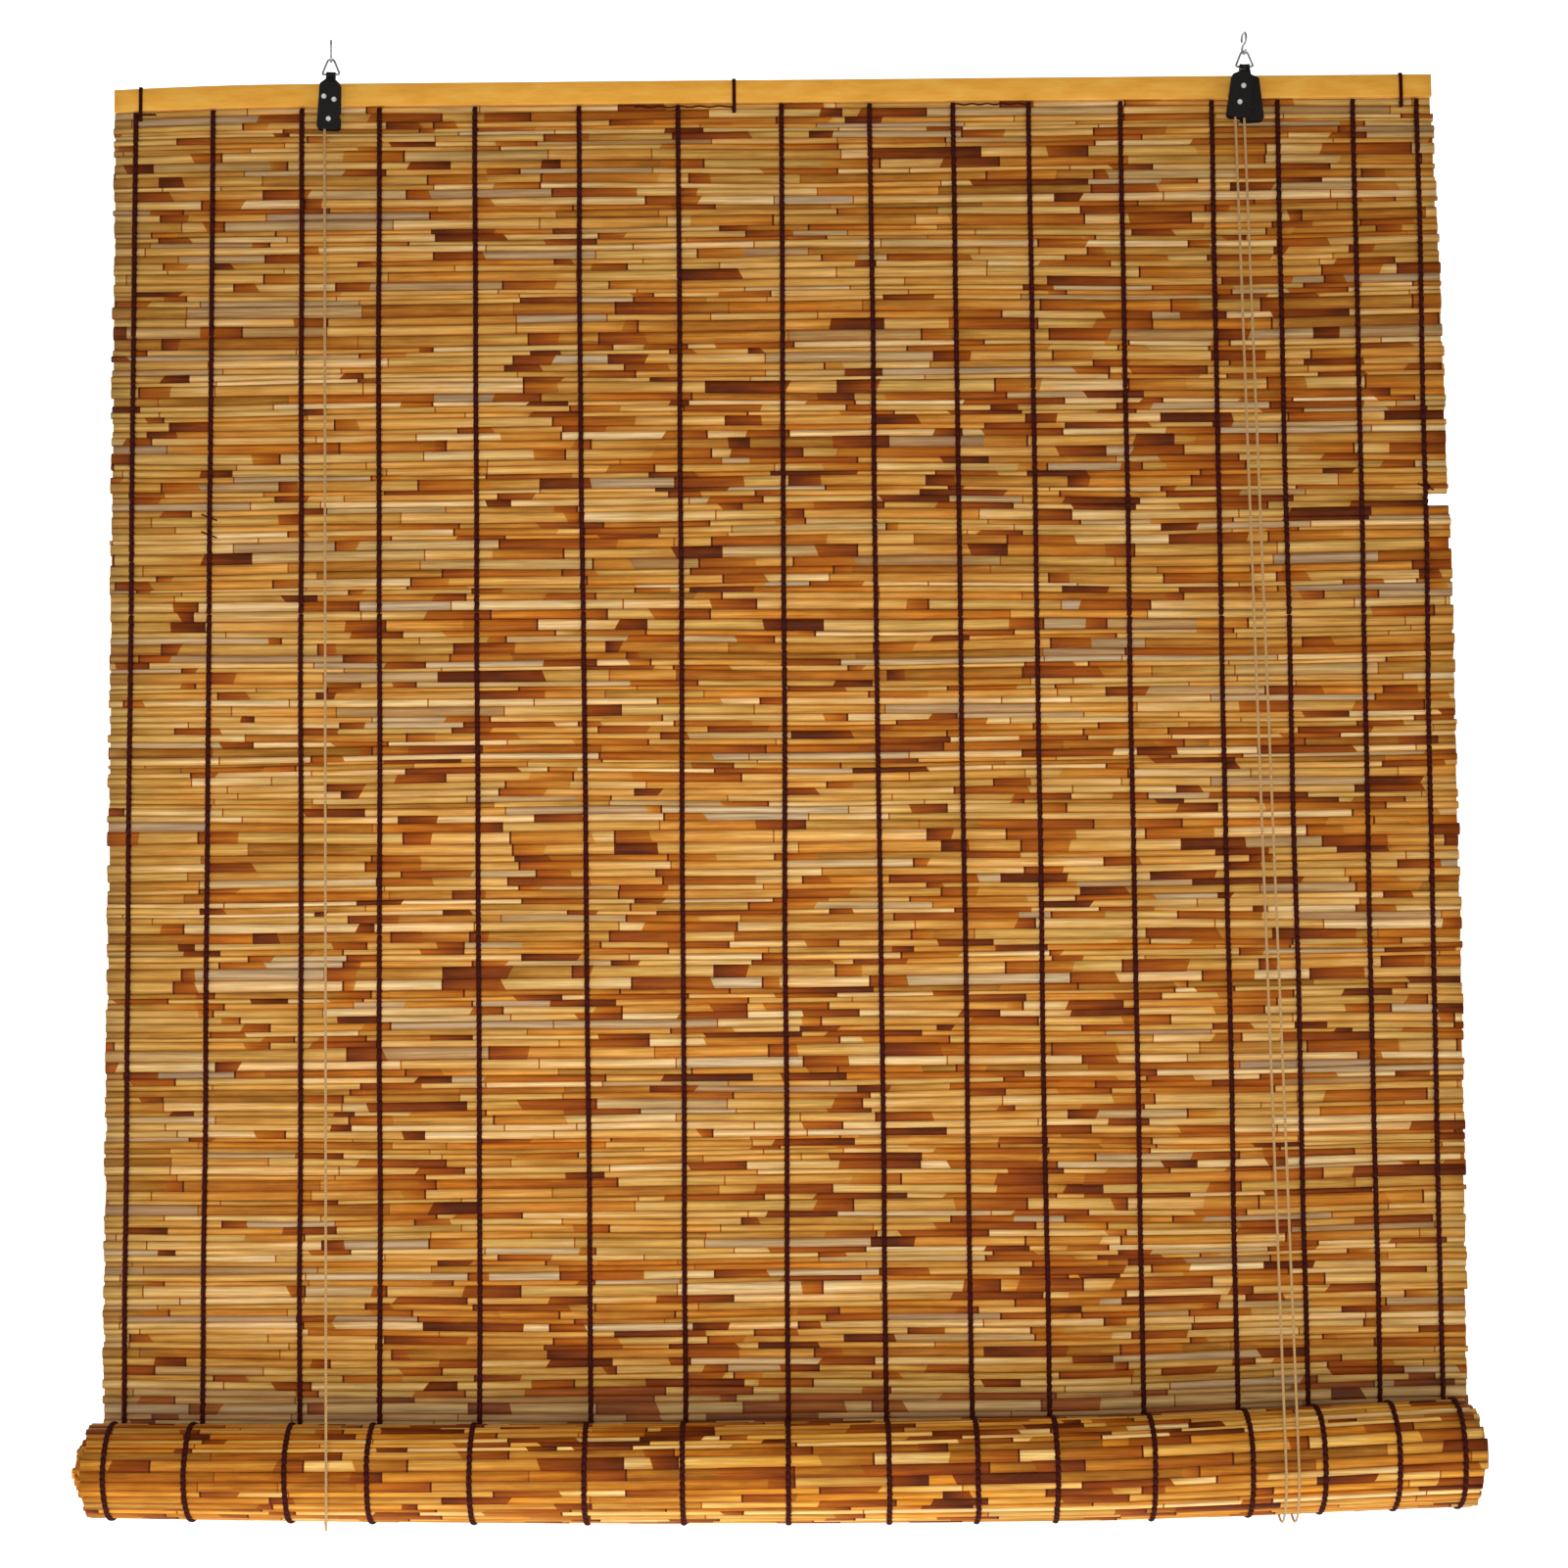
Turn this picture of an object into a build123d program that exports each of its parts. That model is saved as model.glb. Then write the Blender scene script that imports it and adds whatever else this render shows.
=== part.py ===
"""A roll-up reed blind on a wooden rail, hung by two S-hooks, rolled half way up on its lift cords.

Millimetres. X runs along the rail, the viewer stands at -Y, +Z is up. The origin lies on the level line
that the blind hangs from, above the middle of the rail: z = 0 is the inside top of both hooks' eyes.
"""

import math
import os

from build123d import *

os.makedirs("parts", exist_ok=True)

# Rail: a flat slat that carries the mat
rail_length = 1200.0
rail_height = 21.0
rail_depth = 8.0
rail_top = -37.0
rail_edge_radius = 1.2
rail_droop = 1.8
rail_bottom = rail_top - rail_height
rail_front = -rail_depth / 2
rail_back = rail_depth / 2

# Reed mat: ridges stand for the reeds, thin webs for the joints between them
mat_width = rail_length
reed_pitch = 6.4
reed_half_depth = 2.5
reed_flat_margin = 1.9
web_margin = 0.5
web_half = 0.8
hanging_reeds = 190
rail_gap = 2.3
joint_gap = 0.3
mat_top = rail_bottom - rail_gap
mat_bottom = mat_top - hanging_reeds * reed_pitch
roll_center_z = mat_bottom - joint_gap

# Gaps between reeds, one in each bay between two warps on a few rows
gap_rows = 8
gap_row_spacing = 24
gap_first_row = 12
gap_height = 0.8
gap_margin = 8.0

# Broken reed ends at the right edge
notch_depth = 14.0
notch_first_reed = 57
notch_reeds = 2

# Warp threads, twined over both faces of the mat. Their places are per mille of its width from its middle
warp_places = [-484, -425, -357.5, -299, -226, -147.5, -71.5, 6]
warp_places += [73.5, 136.5, 194, 263.5, 332.5, 382.5, 440, 488.5]
warp_xs = [place * mat_width / 1000 for place in warp_places]
warp_width = 3.6
warp_thickness = 1.0
soft_clearance = 0.3
warp_nip = 14.0

# Rolled part of the mat: a spiral of half turns that close in by half a pitch each
roll_radius = 43.0
turn_pitch = 5.6
strip_half = 2.1
roll_turns = 6
ridged_turns = 1
turn_shift = 2.4
roll_warp_end_angle = 38.0
warp_bends = 12
warp_bend_rise = 0.4
bottom_slat_width = 18.4
bottom_slat_thickness = 8.0

# Hooks and rings
hook_wire = 2.2
hook_eye_radius = 5.3
hook_bowl_radius = 4.5
hook_eye_tail = 25.0
hook_bowl_tail = 15.0
ring_wire = 2.0
ring_half_angle = 22.0
ring_apex_radius = 3.6
ring_corner_radius = 1.2
link_clearance = 0.3
ring_bar_z = -30.2

# Pulley blocks: one strap folded over the ring's bar, with a grooved sheave between its cheeks
strap = 1.0
cheek_gap = 6.4
fold_inner_radius = 1.3
block_length = 51.5
shoulder_half = 9.3
foot_half = 10.5
foot_corner = 3.0
jog_top = 2.5
jog_bottom = 8.0
block_spacing = 2.0
block_y = rail_front - strap - cheek_gap / 2
front_block_y = block_y - 2 * strap - cheek_gap - block_spacing
wide_neck_half = 4.2
narrow_neck_half = 2.2
neck_offset = 2.4

# Sheaves, axle pins and screws
sheave_radius = 6.0
sheave_groove = 2.7
sheave_width = 6.0
sheave_rim = 0.5
sheave_floor = 0.8
axle_diameter = 3.0
axle_clearance = 0.2
rivet_head = 4.6
rivet_head_height = 0.8
screw_diameter = 3.0
screw_head = 4.8
screw_head_height = 1.4
screw_bite = 6.5
hole_clearance = 0.2

# Cords
cord_diameter = 2.2
cord_radius = cord_diameter / 2
knot_radius = 2.2
cord_gap_width = 8.0

# Staples that hold the cords' knotted ends behind the rail
staple_wire = 1.0
staple_width = 4.4
staple_bite = 3.0
staple_crown_y = rail_back + 4.2
staple_fit = 0.05

# Thread ties round the rail and the top reed
tie_xs = [-rail_length / 2 + 23.5, -36.0, rail_length / 2 - 28.5]
tie_width = 2.2
tie_thickness = 0.8
tie_reeds = 1

# Places of the hangers and how far each piece turns out of plumb
left_x = -rail_length / 2 + 198.0
right_x = rail_length / 2 - 170.6
left_lean = 2.3
right_front_lean = 7.1
right_rear_lean = -4.0
left_axle_drop = 42.2
right_front_axle_drop = 37.4
right_rear_axle_drop = 39.9
left_screws = [(left_x - 5.8, rail_bottom + 6.6), (left_x + 3.3, rail_bottom + 3.6)]
right_screw = (right_x - 3.3, rail_bottom + 5.7)
left_hook_turn = 8.0
right_hook_turn = 14.0
droop_start = left_x - 20.0


def save(part, name):
    part.label = name
    export_step(part, f"parts/{name}.step")


def front_view(y):
    """The upright plane at this Y, seen from the front: positive amounts come towards the viewer."""
    return Plane.XZ.offset(-y)


def roll_arc_center(half_turn):
    """Y of the centre of a half turn; the spiral's half turns sit on two centres half a pitch apart."""
    return -roll_radius - (turn_pitch / 2 if half_turn % 2 else 0.0)


def roll_arc_radius(half_turn):
    return roll_radius - half_turn * turn_pitch / 2


def roll_point(half_turn, angle, offset):
    """A point (Y, Z) on a half turn. angle runs from 0 at its start to 180; even ones go under the roll."""
    way = math.radians(-angle if half_turn % 2 == 0 else 180.0 - angle)
    radius = roll_arc_radius(half_turn) + offset
    return (roll_arc_center(half_turn) + radius * math.cos(way), roll_center_z + radius * math.sin(way))


def reed_profile(length, count):
    """Distances along a run of reeds and heights over its middle: each reed is a bevelled ridge."""
    pitch = length / count
    points = []
    for i in range(count):
        start = i * pitch
        points.append((start + web_margin, web_half))
        points.append((start + reed_flat_margin, reed_half_depth))
        points.append((start + pitch - reed_flat_margin, reed_half_depth))
        points.append((start + pitch - web_margin, web_half))
    return points


def web_z(row):
    """Height of the web above the reed with this number, counted from the top of the mat."""
    return mat_top - row * reed_pitch


def block_plane(x, y, lean):
    """Plane of a block's front view: its origin on the ring's bar, leaning lean degrees to -X at the foot."""
    turn = math.radians(lean)
    return Plane(origin=(x, y, ring_bar_z), x_dir=(math.cos(turn), 0, -math.sin(turn)), z_dir=(0, -1, 0))


def block_side_plane(x, y, lean):
    turn = math.radians(lean)
    return Plane(origin=(x, y, ring_bar_z), x_dir=(0, 1, 0), z_dir=(math.cos(turn), 0, -math.sin(turn)))


def axle_place(x, lean, drop):
    turn = math.radians(lean)
    return (x - drop * math.sin(turn), ring_bar_z - drop * math.cos(turn))


left_axle = axle_place(left_x, left_lean, left_axle_drop)
right_front_axle = axle_place(right_x - neck_offset, right_front_lean, right_front_axle_drop)
right_rear_axle = axle_place(right_x + neck_offset, right_rear_lean, right_rear_axle_drop)


def droop(x):
    """How far the rail hangs down at x, past the left hanger."""
    overhang = rail_length / 2 + droop_start
    return rail_droop * (max(0.0, droop_start - x) / overhang) ** 2


def make_rail():
    with BuildPart() as rail:
        with BuildSketch(Plane.XZ):
            with BuildLine():
                end = -rail_length / 2
                Line((droop_start, rail_top), (rail_length / 2, rail_top))
                Line((rail_length / 2, rail_top), (rail_length / 2, rail_bottom))
                Line((rail_length / 2, rail_bottom), (droop_start, rail_bottom))
                TangentArc((droop_start, rail_bottom), (end, rail_bottom - rail_droop), tangent=(-1, 0))
                Line((end, rail_bottom - rail_droop), (end, rail_top - rail_droop))
                TangentArc((droop_start, rail_top), (end, rail_top - rail_droop), tangent=(-1, 0))
            make_face()
        extrude(amount=rail_depth / 2, both=True)
        fillet(rail.edges().filter_by(lambda e: e.length > rail_height), radius=rail_edge_radius)
        with BuildSketch(front_view(rail_front)):
            with Locations(*left_screws, right_screw):
                Circle((screw_diameter + hole_clearance) / 2)
        extrude(amount=-screw_bite, mode=Mode.SUBTRACT)
        for x, z, upright in staple_places:
            with BuildSketch(front_view(rail_back)):
                with Locations((x, z)):
                    for side in (-1, 1):
                        shift = side * (staple_width - staple_wire) / 2
                        spot = (0, shift) if upright else (shift, 0)
                        with Locations(spot):
                            Rectangle(staple_wire + staple_fit, staple_wire + staple_fit)
            extrude(amount=staple_bite + staple_fit, mode=Mode.SUBTRACT)
    save(rail.part, "top_rail")


def make_ties():
    loop_top = rail_top + soft_clearance
    loop_bottom = web_z(tie_reeds) - tie_thickness / 2
    front = rail_front - soft_clearance
    for name, x in zip(("left", "middle", "right"), tie_xs):
        top = loop_top - droop(x)
        with BuildPart() as tie:
            with BuildSketch(Plane.YZ.offset(x)):
                height = top + tie_thickness - loop_bottom
                with Locations((0, loop_bottom + height / 2)):
                    Rectangle(2 * (tie_thickness - front), height)
                    inner_height = height - 2 * tie_thickness
                    Rectangle(-2 * front, inner_height, mode=Mode.SUBTRACT)
            extrude(amount=tie_width / 2, both=True)
            fillet(tie.edges().filter_by(Axis.X), radius=tie_thickness * 0.4)
        save(tie.part, f"thread_tie_{name}")


def make_hanging_mat():
    outline = reed_profile(hanging_reeds * reed_pitch, hanging_reeds)
    front = [(-height, mat_top - along) for along, height in outline]
    back = [(height, mat_top - along) for along, height in reversed(outline)]
    with BuildPart() as mat:
        with BuildSketch(Plane.YZ):
            with BuildLine():
                Polyline(*front, *back, close=True)
            make_face()
        extrude(amount=mat_width / 2, both=True)
        with BuildSketch(Plane.XZ):
            for row in range(gap_rows):
                z = web_z(gap_first_row + row * gap_row_spacing)
                for left, right in zip(warp_xs, warp_xs[1:]):
                    with Locations(((left + right) / 2, z)):
                        Rectangle(right - left - 2 * gap_margin, gap_height)
            for x in tie_xs:
                with Locations((x, web_z(tie_reeds))):
                    Rectangle(tie_width + 2 * soft_clearance, tie_thickness + 2 * soft_clearance)
            with Locations((cord_gap_x, left_axle[1] + cord_wrap)):
                Rectangle(cord_gap_width, cord_gap_height)
            notch_top = web_z(notch_first_reed - 1)
            notch_height = notch_reeds * reed_pitch
            with Locations((mat_width / 2, notch_top - notch_height / 2)):
                Rectangle(2 * notch_depth, notch_height)
        extrude(amount=2 * reed_half_depth, both=True, mode=Mode.SUBTRACT)
    save(mat.part, "hanging_mat")


def make_warps():
    inner = reed_half_depth + soft_clearance
    top = web_z(tie_reeds) - tie_thickness - 2 * soft_clearance
    for number, x in enumerate(warp_xs, 1):
        with BuildPart() as warp:
            for side, low in ((-1, mat_bottom + warp_nip), (1, mat_bottom)):
                with BuildSketch(front_view(side * (inner + warp_thickness / 2))):
                    with Locations((x, (top + low) / 2)):
                        Rectangle(warp_width, top - low)
                extrude(amount=warp_thickness / 2, both=True)
        save(warp.part, f"warp_thread_{number:02d}")


def turn_boundary(turn, side):
    """Edges of one turn's outer (side 1) or inner (side -1) face, from its start to its end."""
    for half in (2 * turn, 2 * turn + 1):
        if side > 0 and turn < ridged_turns:
            length = math.pi * (roll_arc_radius(half) + reed_half_depth)
            count = round(length / reed_pitch)
            points = [
                roll_point(half, 180.0 * along / length, height)
                for along, height in reed_profile(length, count)
            ]
            start = [roll_point(half, 0, web_half)]
            end = [roll_point(half, 180, web_half)]
            Polyline(*start, *points, *end)
        else:
            ThreePointArc(*(roll_point(half, a, side * strip_half) for a in (0, 90, 180)))


def make_rolled_mat():
    with BuildPart() as roll:
        for turn in range(roll_turns):
            outer_height = web_half if turn < ridged_turns else strip_half
            with BuildSketch(Plane.YZ.offset(-mat_width / 2 - turn * turn_shift)):
                with BuildLine():
                    turn_boundary(turn, 1)
                    turn_boundary(turn, -1)
                    for half, angle in ((2 * turn, 0), (2 * turn + 1, 180)):
                        Line(roll_point(half, angle, outer_height), roll_point(half, angle, -strip_half))
                make_face()
            extrude(amount=mat_width)
    save(roll.part, "rolled_mat")


def make_roll_warps():
    """The warp threads on the roll, bent a little at every second reed."""
    inner = reed_half_depth + soft_clearance + warp_bend_rise
    outer = inner + warp_thickness
    last = 180.0 - roll_warp_end_angle
    places = [(0, 180.0 * i / warp_bends) for i in range(warp_bends + 1)]
    places += [(1, last * i / (warp_bends - 2)) for i in range(1, warp_bends - 1)]
    path_out = [roll_point(half, angle, outer) for half, angle in places]
    path_in = [roll_point(half, angle, inner) for half, angle in places]
    for number, x in enumerate(warp_xs, 1):
        with BuildPart() as warp:
            with BuildSketch(Plane.YZ.offset(x - warp_width / 2)):
                with BuildLine():
                    Polyline(*path_out, *reversed(path_in), close=True)
                make_face()
            extrude(amount=warp_width)
        save(warp.part, f"roll_warp_thread_{number:02d}")


def make_bottom_slat():
    with BuildPart() as slat:
        with BuildSketch(Plane.YZ.offset(-mat_width / 2 - roll_turns * turn_shift)):
            with Locations((roll_arc_center(1), roll_center_z)):
                RectangleRounded(bottom_slat_width, bottom_slat_thickness, 1.0)
        extrude(amount=mat_width)
    save(slat.part, "bottom_slat")


def make_hook(name, x, turn):
    eye_z = -(hook_eye_radius - hook_wire / 2)
    bowl_z = eye_z - hook_eye_radius - hook_bowl_radius
    around = math.radians(turn)
    plane = Plane(
        origin=(x, block_y, 0),
        x_dir=(math.sin(around), -math.cos(around), 0),
        z_dir=(-math.cos(around), -math.sin(around), 0),
    )
    with BuildPart() as hook:
        with BuildLine(plane) as path:
            CenterArc((0, eye_z), hook_eye_radius, 180 + hook_eye_tail, -(270 + hook_eye_tail))
            CenterArc((0, bowl_z), hook_bowl_radius, 90, 270 - hook_bowl_tail)
        line = path.line
        with BuildSketch(Plane(line @ 0, z_dir=line % 0)):
            Circle(hook_wire / 2)
        sweep()
    save(hook.part, name)


def make_ring(name, x):
    bowl_z = -(hook_eye_radius - hook_wire / 2) - hook_eye_radius - hook_bowl_radius
    apex_z = bowl_z - hook_bowl_radius + hook_wire / 2 + link_clearance + ring_wire / 2
    slope = math.radians(ring_half_angle)
    sharp_z = apex_z + ring_apex_radius * (1 / math.sin(slope) - 1)
    base_half = (sharp_z - ring_bar_z) * math.tan(slope)
    with BuildPart() as ring:
        with BuildLine(front_view(block_y)) as path:
            FilletPolyline(
                (x, ring_bar_z),
                (x + base_half, ring_bar_z),
                (x, sharp_z),
                (x - base_half, ring_bar_z),
                (x - 0.001, ring_bar_z),
                radius=[ring_corner_radius, ring_apex_radius, ring_corner_radius],
            )
            Line((x - 0.001, ring_bar_z), (x, ring_bar_z))
        with BuildSketch(Plane((x, block_y, ring_bar_z), z_dir=(1, 0, 0))):
            Circle(ring_wire / 2)
        sweep()
    save(ring.part, name)


def strap_profile(shift):
    """Inner line of the folded strap in the side view; shift moves both cheeks off the bar's plane."""
    front = shift - cheek_gap / 2
    rear = shift + cheek_gap / 2
    FilletPolyline(
        (front, -block_length),
        (front, -jog_bottom),
        (-fold_inner_radius, -jog_top),
        (-fold_inner_radius, fold_inner_radius),
        (fold_inner_radius, fold_inner_radius),
        (fold_inner_radius, -jog_top),
        (rear, -jog_bottom),
        (rear, -block_length),
        radius=[2.0, 1.2, fold_inner_radius * 0.96, fold_inner_radius * 0.96, 1.2, 2.0],
    )
    offset(amount=strap, side=Side.LEFT)


def make_block(name, x, lean, shift, neck_half, shoulder, axle_drop, screws, window):
    front_plane = block_plane(x, block_y, lean)
    shoulder_top, shoulder_full = shoulder
    reach = abs(shift) + cheek_gap + 4 * strap
    with BuildPart() as block:
        with BuildSketch(block_side_plane(x, block_y, lean)):
            with BuildLine():
                strap_profile(shift)
            make_face()
        extrude(amount=foot_half + 1.0, both=True)
        with BuildSketch(front_plane):
            with BuildLine():
                right = FilletPolyline(
                    (0, 4.0),
                    (neck_half, 4.0),
                    (neck_half, -shoulder_top),
                    (shoulder_half, -shoulder_full),
                    (foot_half, -block_length),
                    (0, -block_length),
                    radius=[0.5, 1.0, 2.0, foot_corner],
                )
                mirror(right, about=Plane.YZ)
            make_face()
        extrude(amount=reach, both=True, mode=Mode.INTERSECT)
        with BuildSketch(front_plane):
            with Locations((0, -axle_drop)):
                Circle((axle_diameter + axle_clearance) / 2)
        extrude(amount=reach, both=True, mode=Mode.SUBTRACT)
        if screws:
            with BuildSketch(front_view(block_y)):
                with Locations(*screws):
                    Circle((screw_diameter + hole_clearance) / 2)
            extrude(amount=reach, both=True, mode=Mode.SUBTRACT)
        if window:
            with BuildSketch(front_view(block_y)):
                with Locations(window):
                    Rectangle(cord_gap_width, cord_diameter + 2.0)
            extrude(amount=-(cheek_gap / 2 + 2 * strap), mode=Mode.SUBTRACT)
    save(block.part, name)


def make_sheave(name, axle, y):
    half = sheave_width / 2
    bore = (axle_diameter + axle_clearance) / 2
    with BuildPart() as sheave:
        with BuildSketch(Plane((axle[0], y, axle[1]), x_dir=(1, 0, 0), z_dir=(0, 0, 1))):
            with BuildLine():
                Polyline(
                    (bore, -half),
                    (sheave_radius, -half),
                    (sheave_radius, -half + sheave_rim),
                    (sheave_groove, -sheave_floor),
                    (sheave_groove, sheave_floor),
                    (sheave_radius, half - sheave_rim),
                    (sheave_radius, half),
                    (bore, half),
                    close=True,
                )
            make_face()
        revolve(axis=Axis((axle[0], y, axle[1]), (0, 1, 0)))
    save(sheave.part, name)


def make_axle(name, axle, y):
    half = cheek_gap / 2 + strap
    with BuildPart() as pin:
        with BuildSketch(front_view(y)):
            with Locations(axle):
                Circle(axle_diameter / 2)
        extrude(amount=half, both=True)
        for side in (-1, 1):
            with BuildSketch(front_view(y - side * half)):
                with Locations(axle):
                    Circle(rivet_head / 2)
            extrude(amount=side * rivet_head_height, taper=20)
    save(pin.part, name)


def make_screws():
    tip_y = rail_front + screw_bite - hole_clearance
    with BuildPart() as screws:
        for places, head_y in ((left_screws, block_y - cheek_gap / 2 - strap),
                               ([right_screw], front_block_y - cheek_gap / 2 - strap)):
            with BuildSketch(front_view(head_y)):
                with Locations(*places):
                    Circle(screw_diameter / 2)
            extrude(amount=-(tip_y - head_y))
            with BuildSketch(front_view(head_y)):
                with Locations(*places):
                    Circle(screw_head / 2)
            extrude(amount=screw_head_height, taper=25)
    save(screws.part, "rail_screws")


def make_staples():
    with BuildPart() as staples:
        for x, z, upright in staple_places:
            size = (staple_wire, staple_width) if upright else (staple_width, staple_wire)
            with BuildSketch(front_view(staple_crown_y)):
                with Locations((x, z)):
                    Rectangle(*size)
            extrude(amount=-staple_wire)
            for side in (-1, 1):
                shift = side * (staple_width - staple_wire) / 2
                spot = (x, z + shift) if upright else (x + shift, z)
                with BuildSketch(front_view(staple_crown_y)):
                    with Locations(spot):
                        Rectangle(staple_wire, staple_wire)
                extrude(amount=staple_crown_y - rail_back + staple_bite)
    save(staples.part, "cord_staples")


def make_cord(name, points):
    """A cord's tube along straight runs with tangent arcs, and the stopper knot at each end."""
    radii = []
    for before, corner, after in zip(points, points[1:], points[2:]):
        run_in = Vector(*before) - Vector(*corner)
        run_out = Vector(*after) - Vector(*corner)
        turn = 180 - run_in.get_angle(run_out)
        shorter = min(run_in.length, run_out.length)
        radii.append(0.45 * shorter / math.tan(math.radians(turn / 2)))
    with BuildLine() as route:
        FilletPolyline(*points, radius=radii)
    line = route.wire()
    with BuildPart() as cord:
        with BuildSketch(Plane(line @ 0, z_dir=line % 0)):
            Circle(cord_radius)
        sweep(path=line)
        tube = cord.part.volume
        with Locations(points[0], points[-1]):
            Sphere(knot_radius)
    ideal = math.pi * cord_radius**2 * line.length
    print(name, "length", round(line.length), "tube volume over section x length", round(tube / ideal, 4))
    print(name, "radii", [round(r, 1) for r in radii])
    save(cord.part, name)


cord_wrap = sheave_groove + 0.2 + cord_radius
cord_gap_x = left_axle[0] + 7.1
cord_gap_height = cord_diameter + 3.2
knot_y = rail_back + knot_radius + 0.2
staple_drop = 5.0
knot_z = rail_bottom + 17.0
tail_x = right_x - 33.4
tail_z = rail_bottom + 9.0
left_back_x = left_x - 8.0
right_back_xs = (right_x + 1.6, right_x + 12.2)
staple_places = [
    (left_back_x, knot_z - staple_drop, False),
    (right_back_xs[0], knot_z - staple_drop, False),
    (right_back_xs[1], knot_z - staple_drop, False),
    (tail_x - staple_drop, tail_z, True),
]

# Lift cord of the left side: knotted behind the rail, down the back, under the roll, up the front, over
# the left sheave, back between the top reeds and along behind the rail to its tail's staple
left_cord_points = [
    (left_back_x, knot_y, knot_z),
    (left_x - 4.0, 4.4, roll_center_z - 21.0),
    (left_x + 2.0, -24.0, roll_center_z - 50.6),
    (left_x + 9.0, -65.4, roll_center_z - 50.0),
    (left_x + 13.0, -94.6, roll_center_z - 18.6),
    (left_axle[0] - cord_wrap, block_y, left_axle[1] + 1.6),
    (left_axle[0] - 1.6, block_y, left_axle[1] + cord_wrap),
    (left_axle[0] + 4.4, block_y, left_axle[1] + cord_wrap),
    (left_axle[0] + 7.1, block_y + 3.4, left_axle[1] + cord_wrap),
    (left_axle[0] + 7.1, 4.6, left_axle[1] + cord_wrap),
    (left_axle[0] + 11.4, knot_y + 1.6, left_axle[1] + cord_wrap),
    (tail_x, knot_y, tail_z),
]

# Lift cord of the right side: the same loop round the roll, over the front sheave, and its pull end down
# again beside it, under the roll and up to a second staple
right_cord_points = [
    (right_back_xs[0], knot_y, knot_z),
    (right_back_xs[0], 4.4, roll_center_z - 21.0),
    (right_x, -24.0, roll_center_z - 50.6),
    (right_x - 2.2, -65.4, roll_center_z - 50.0),
    (right_x - 3.4, -94.6, roll_center_z - 18.6),
    (right_front_axle[0] - cord_wrap, front_block_y, right_front_axle[1] + 1.6),
    (right_front_axle[0] - 1.6, front_block_y, right_front_axle[1] + cord_wrap),
    (right_front_axle[0] + 1.6, front_block_y, right_front_axle[1] + cord_wrap),
    (right_front_axle[0] + cord_wrap, front_block_y, right_front_axle[1] + 1.6),
    (right_x + 7.6, -94.6, roll_center_z - 18.6),
    (right_x + 9.0, -65.4, roll_center_z - 50.0),
    (right_x + 11.2, -24.0, roll_center_z - 50.6),
    (right_back_xs[1], 4.4, roll_center_z - 21.0),
    (right_back_xs[1], knot_y, knot_z),
]

front_shift = front_block_y - block_y

make_rail()
make_ties()
make_hanging_mat()
make_warps()
make_rolled_mat()
make_roll_warps()
make_bottom_slat()
make_hook("s_hook_left", left_x, left_hook_turn)
make_hook("s_hook_right", right_x, right_hook_turn)
make_ring("ring_left", left_x)
make_ring("ring_right", right_x)
make_block("pulley_block_left", left_x, left_lean, 0.0, wide_neck_half, (5.0, 9.5), left_axle_drop,
           left_screws, (left_axle[0] + 6.4, left_axle[1] + cord_wrap))
make_block("pulley_block_right_front", right_x - neck_offset, right_front_lean, front_shift,
           narrow_neck_half, (8.5, 12.5), right_front_axle_drop, [right_screw], None)
make_block("pulley_block_right_rear", right_x + neck_offset, right_rear_lean, 0.0, narrow_neck_half,
           (8.5, 12.5), right_rear_axle_drop, [right_screw], None)
make_sheave("sheave_left", left_axle, block_y)
make_sheave("sheave_right_front", right_front_axle, front_block_y)
make_sheave("sheave_right_rear", right_rear_axle, block_y)
make_axle("axle_left", left_axle, block_y)
make_axle("axle_right_front", right_front_axle, front_block_y)
make_axle("axle_right_rear", right_rear_axle, block_y)
make_screws()
make_staples()
make_cord("lift_cord_left", left_cord_points)
make_cord("lift_cord_right", right_cord_points)
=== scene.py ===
"""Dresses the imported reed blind: reeds, twined threads, rolled foot, rail, cords, metal finishes and stage.

Metres, in the row frame: X along the rail, the viewer stands at -Y, +Z is up, z = 0 is the inside top of the
hooks' eyes. Each group of pieces is one operator, and main() runs them in order.
"""

import math
import random

import bmesh
import bpy
import numpy as np
from mathutils import Matrix, Vector, noise


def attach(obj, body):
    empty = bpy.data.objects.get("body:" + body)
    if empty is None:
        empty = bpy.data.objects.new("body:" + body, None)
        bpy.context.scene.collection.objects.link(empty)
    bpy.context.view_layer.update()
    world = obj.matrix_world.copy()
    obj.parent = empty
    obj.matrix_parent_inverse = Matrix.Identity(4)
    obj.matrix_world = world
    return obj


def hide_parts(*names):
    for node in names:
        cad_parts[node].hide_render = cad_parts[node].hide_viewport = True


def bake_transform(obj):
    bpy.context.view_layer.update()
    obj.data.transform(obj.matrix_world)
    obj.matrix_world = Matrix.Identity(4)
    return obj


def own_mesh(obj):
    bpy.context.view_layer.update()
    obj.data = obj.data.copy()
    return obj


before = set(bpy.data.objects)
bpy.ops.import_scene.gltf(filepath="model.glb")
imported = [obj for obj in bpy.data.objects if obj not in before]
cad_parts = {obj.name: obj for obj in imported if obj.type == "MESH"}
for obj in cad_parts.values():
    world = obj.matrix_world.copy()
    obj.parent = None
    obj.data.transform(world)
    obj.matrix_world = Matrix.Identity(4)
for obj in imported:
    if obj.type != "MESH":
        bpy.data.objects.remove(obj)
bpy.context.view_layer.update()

bl_info = {
    "name": "Reed Blind Dresser",
    "version": (1, 0, 0),
    "blender": (4, 5, 0),
    "location": "View3D > Sidebar > Blind",
    "description": "Builds the reeds, threads, roll, cords, finishes and stage of a roll-up reed blind",
    "category": "Object",
}

MM = 0.001

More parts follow.
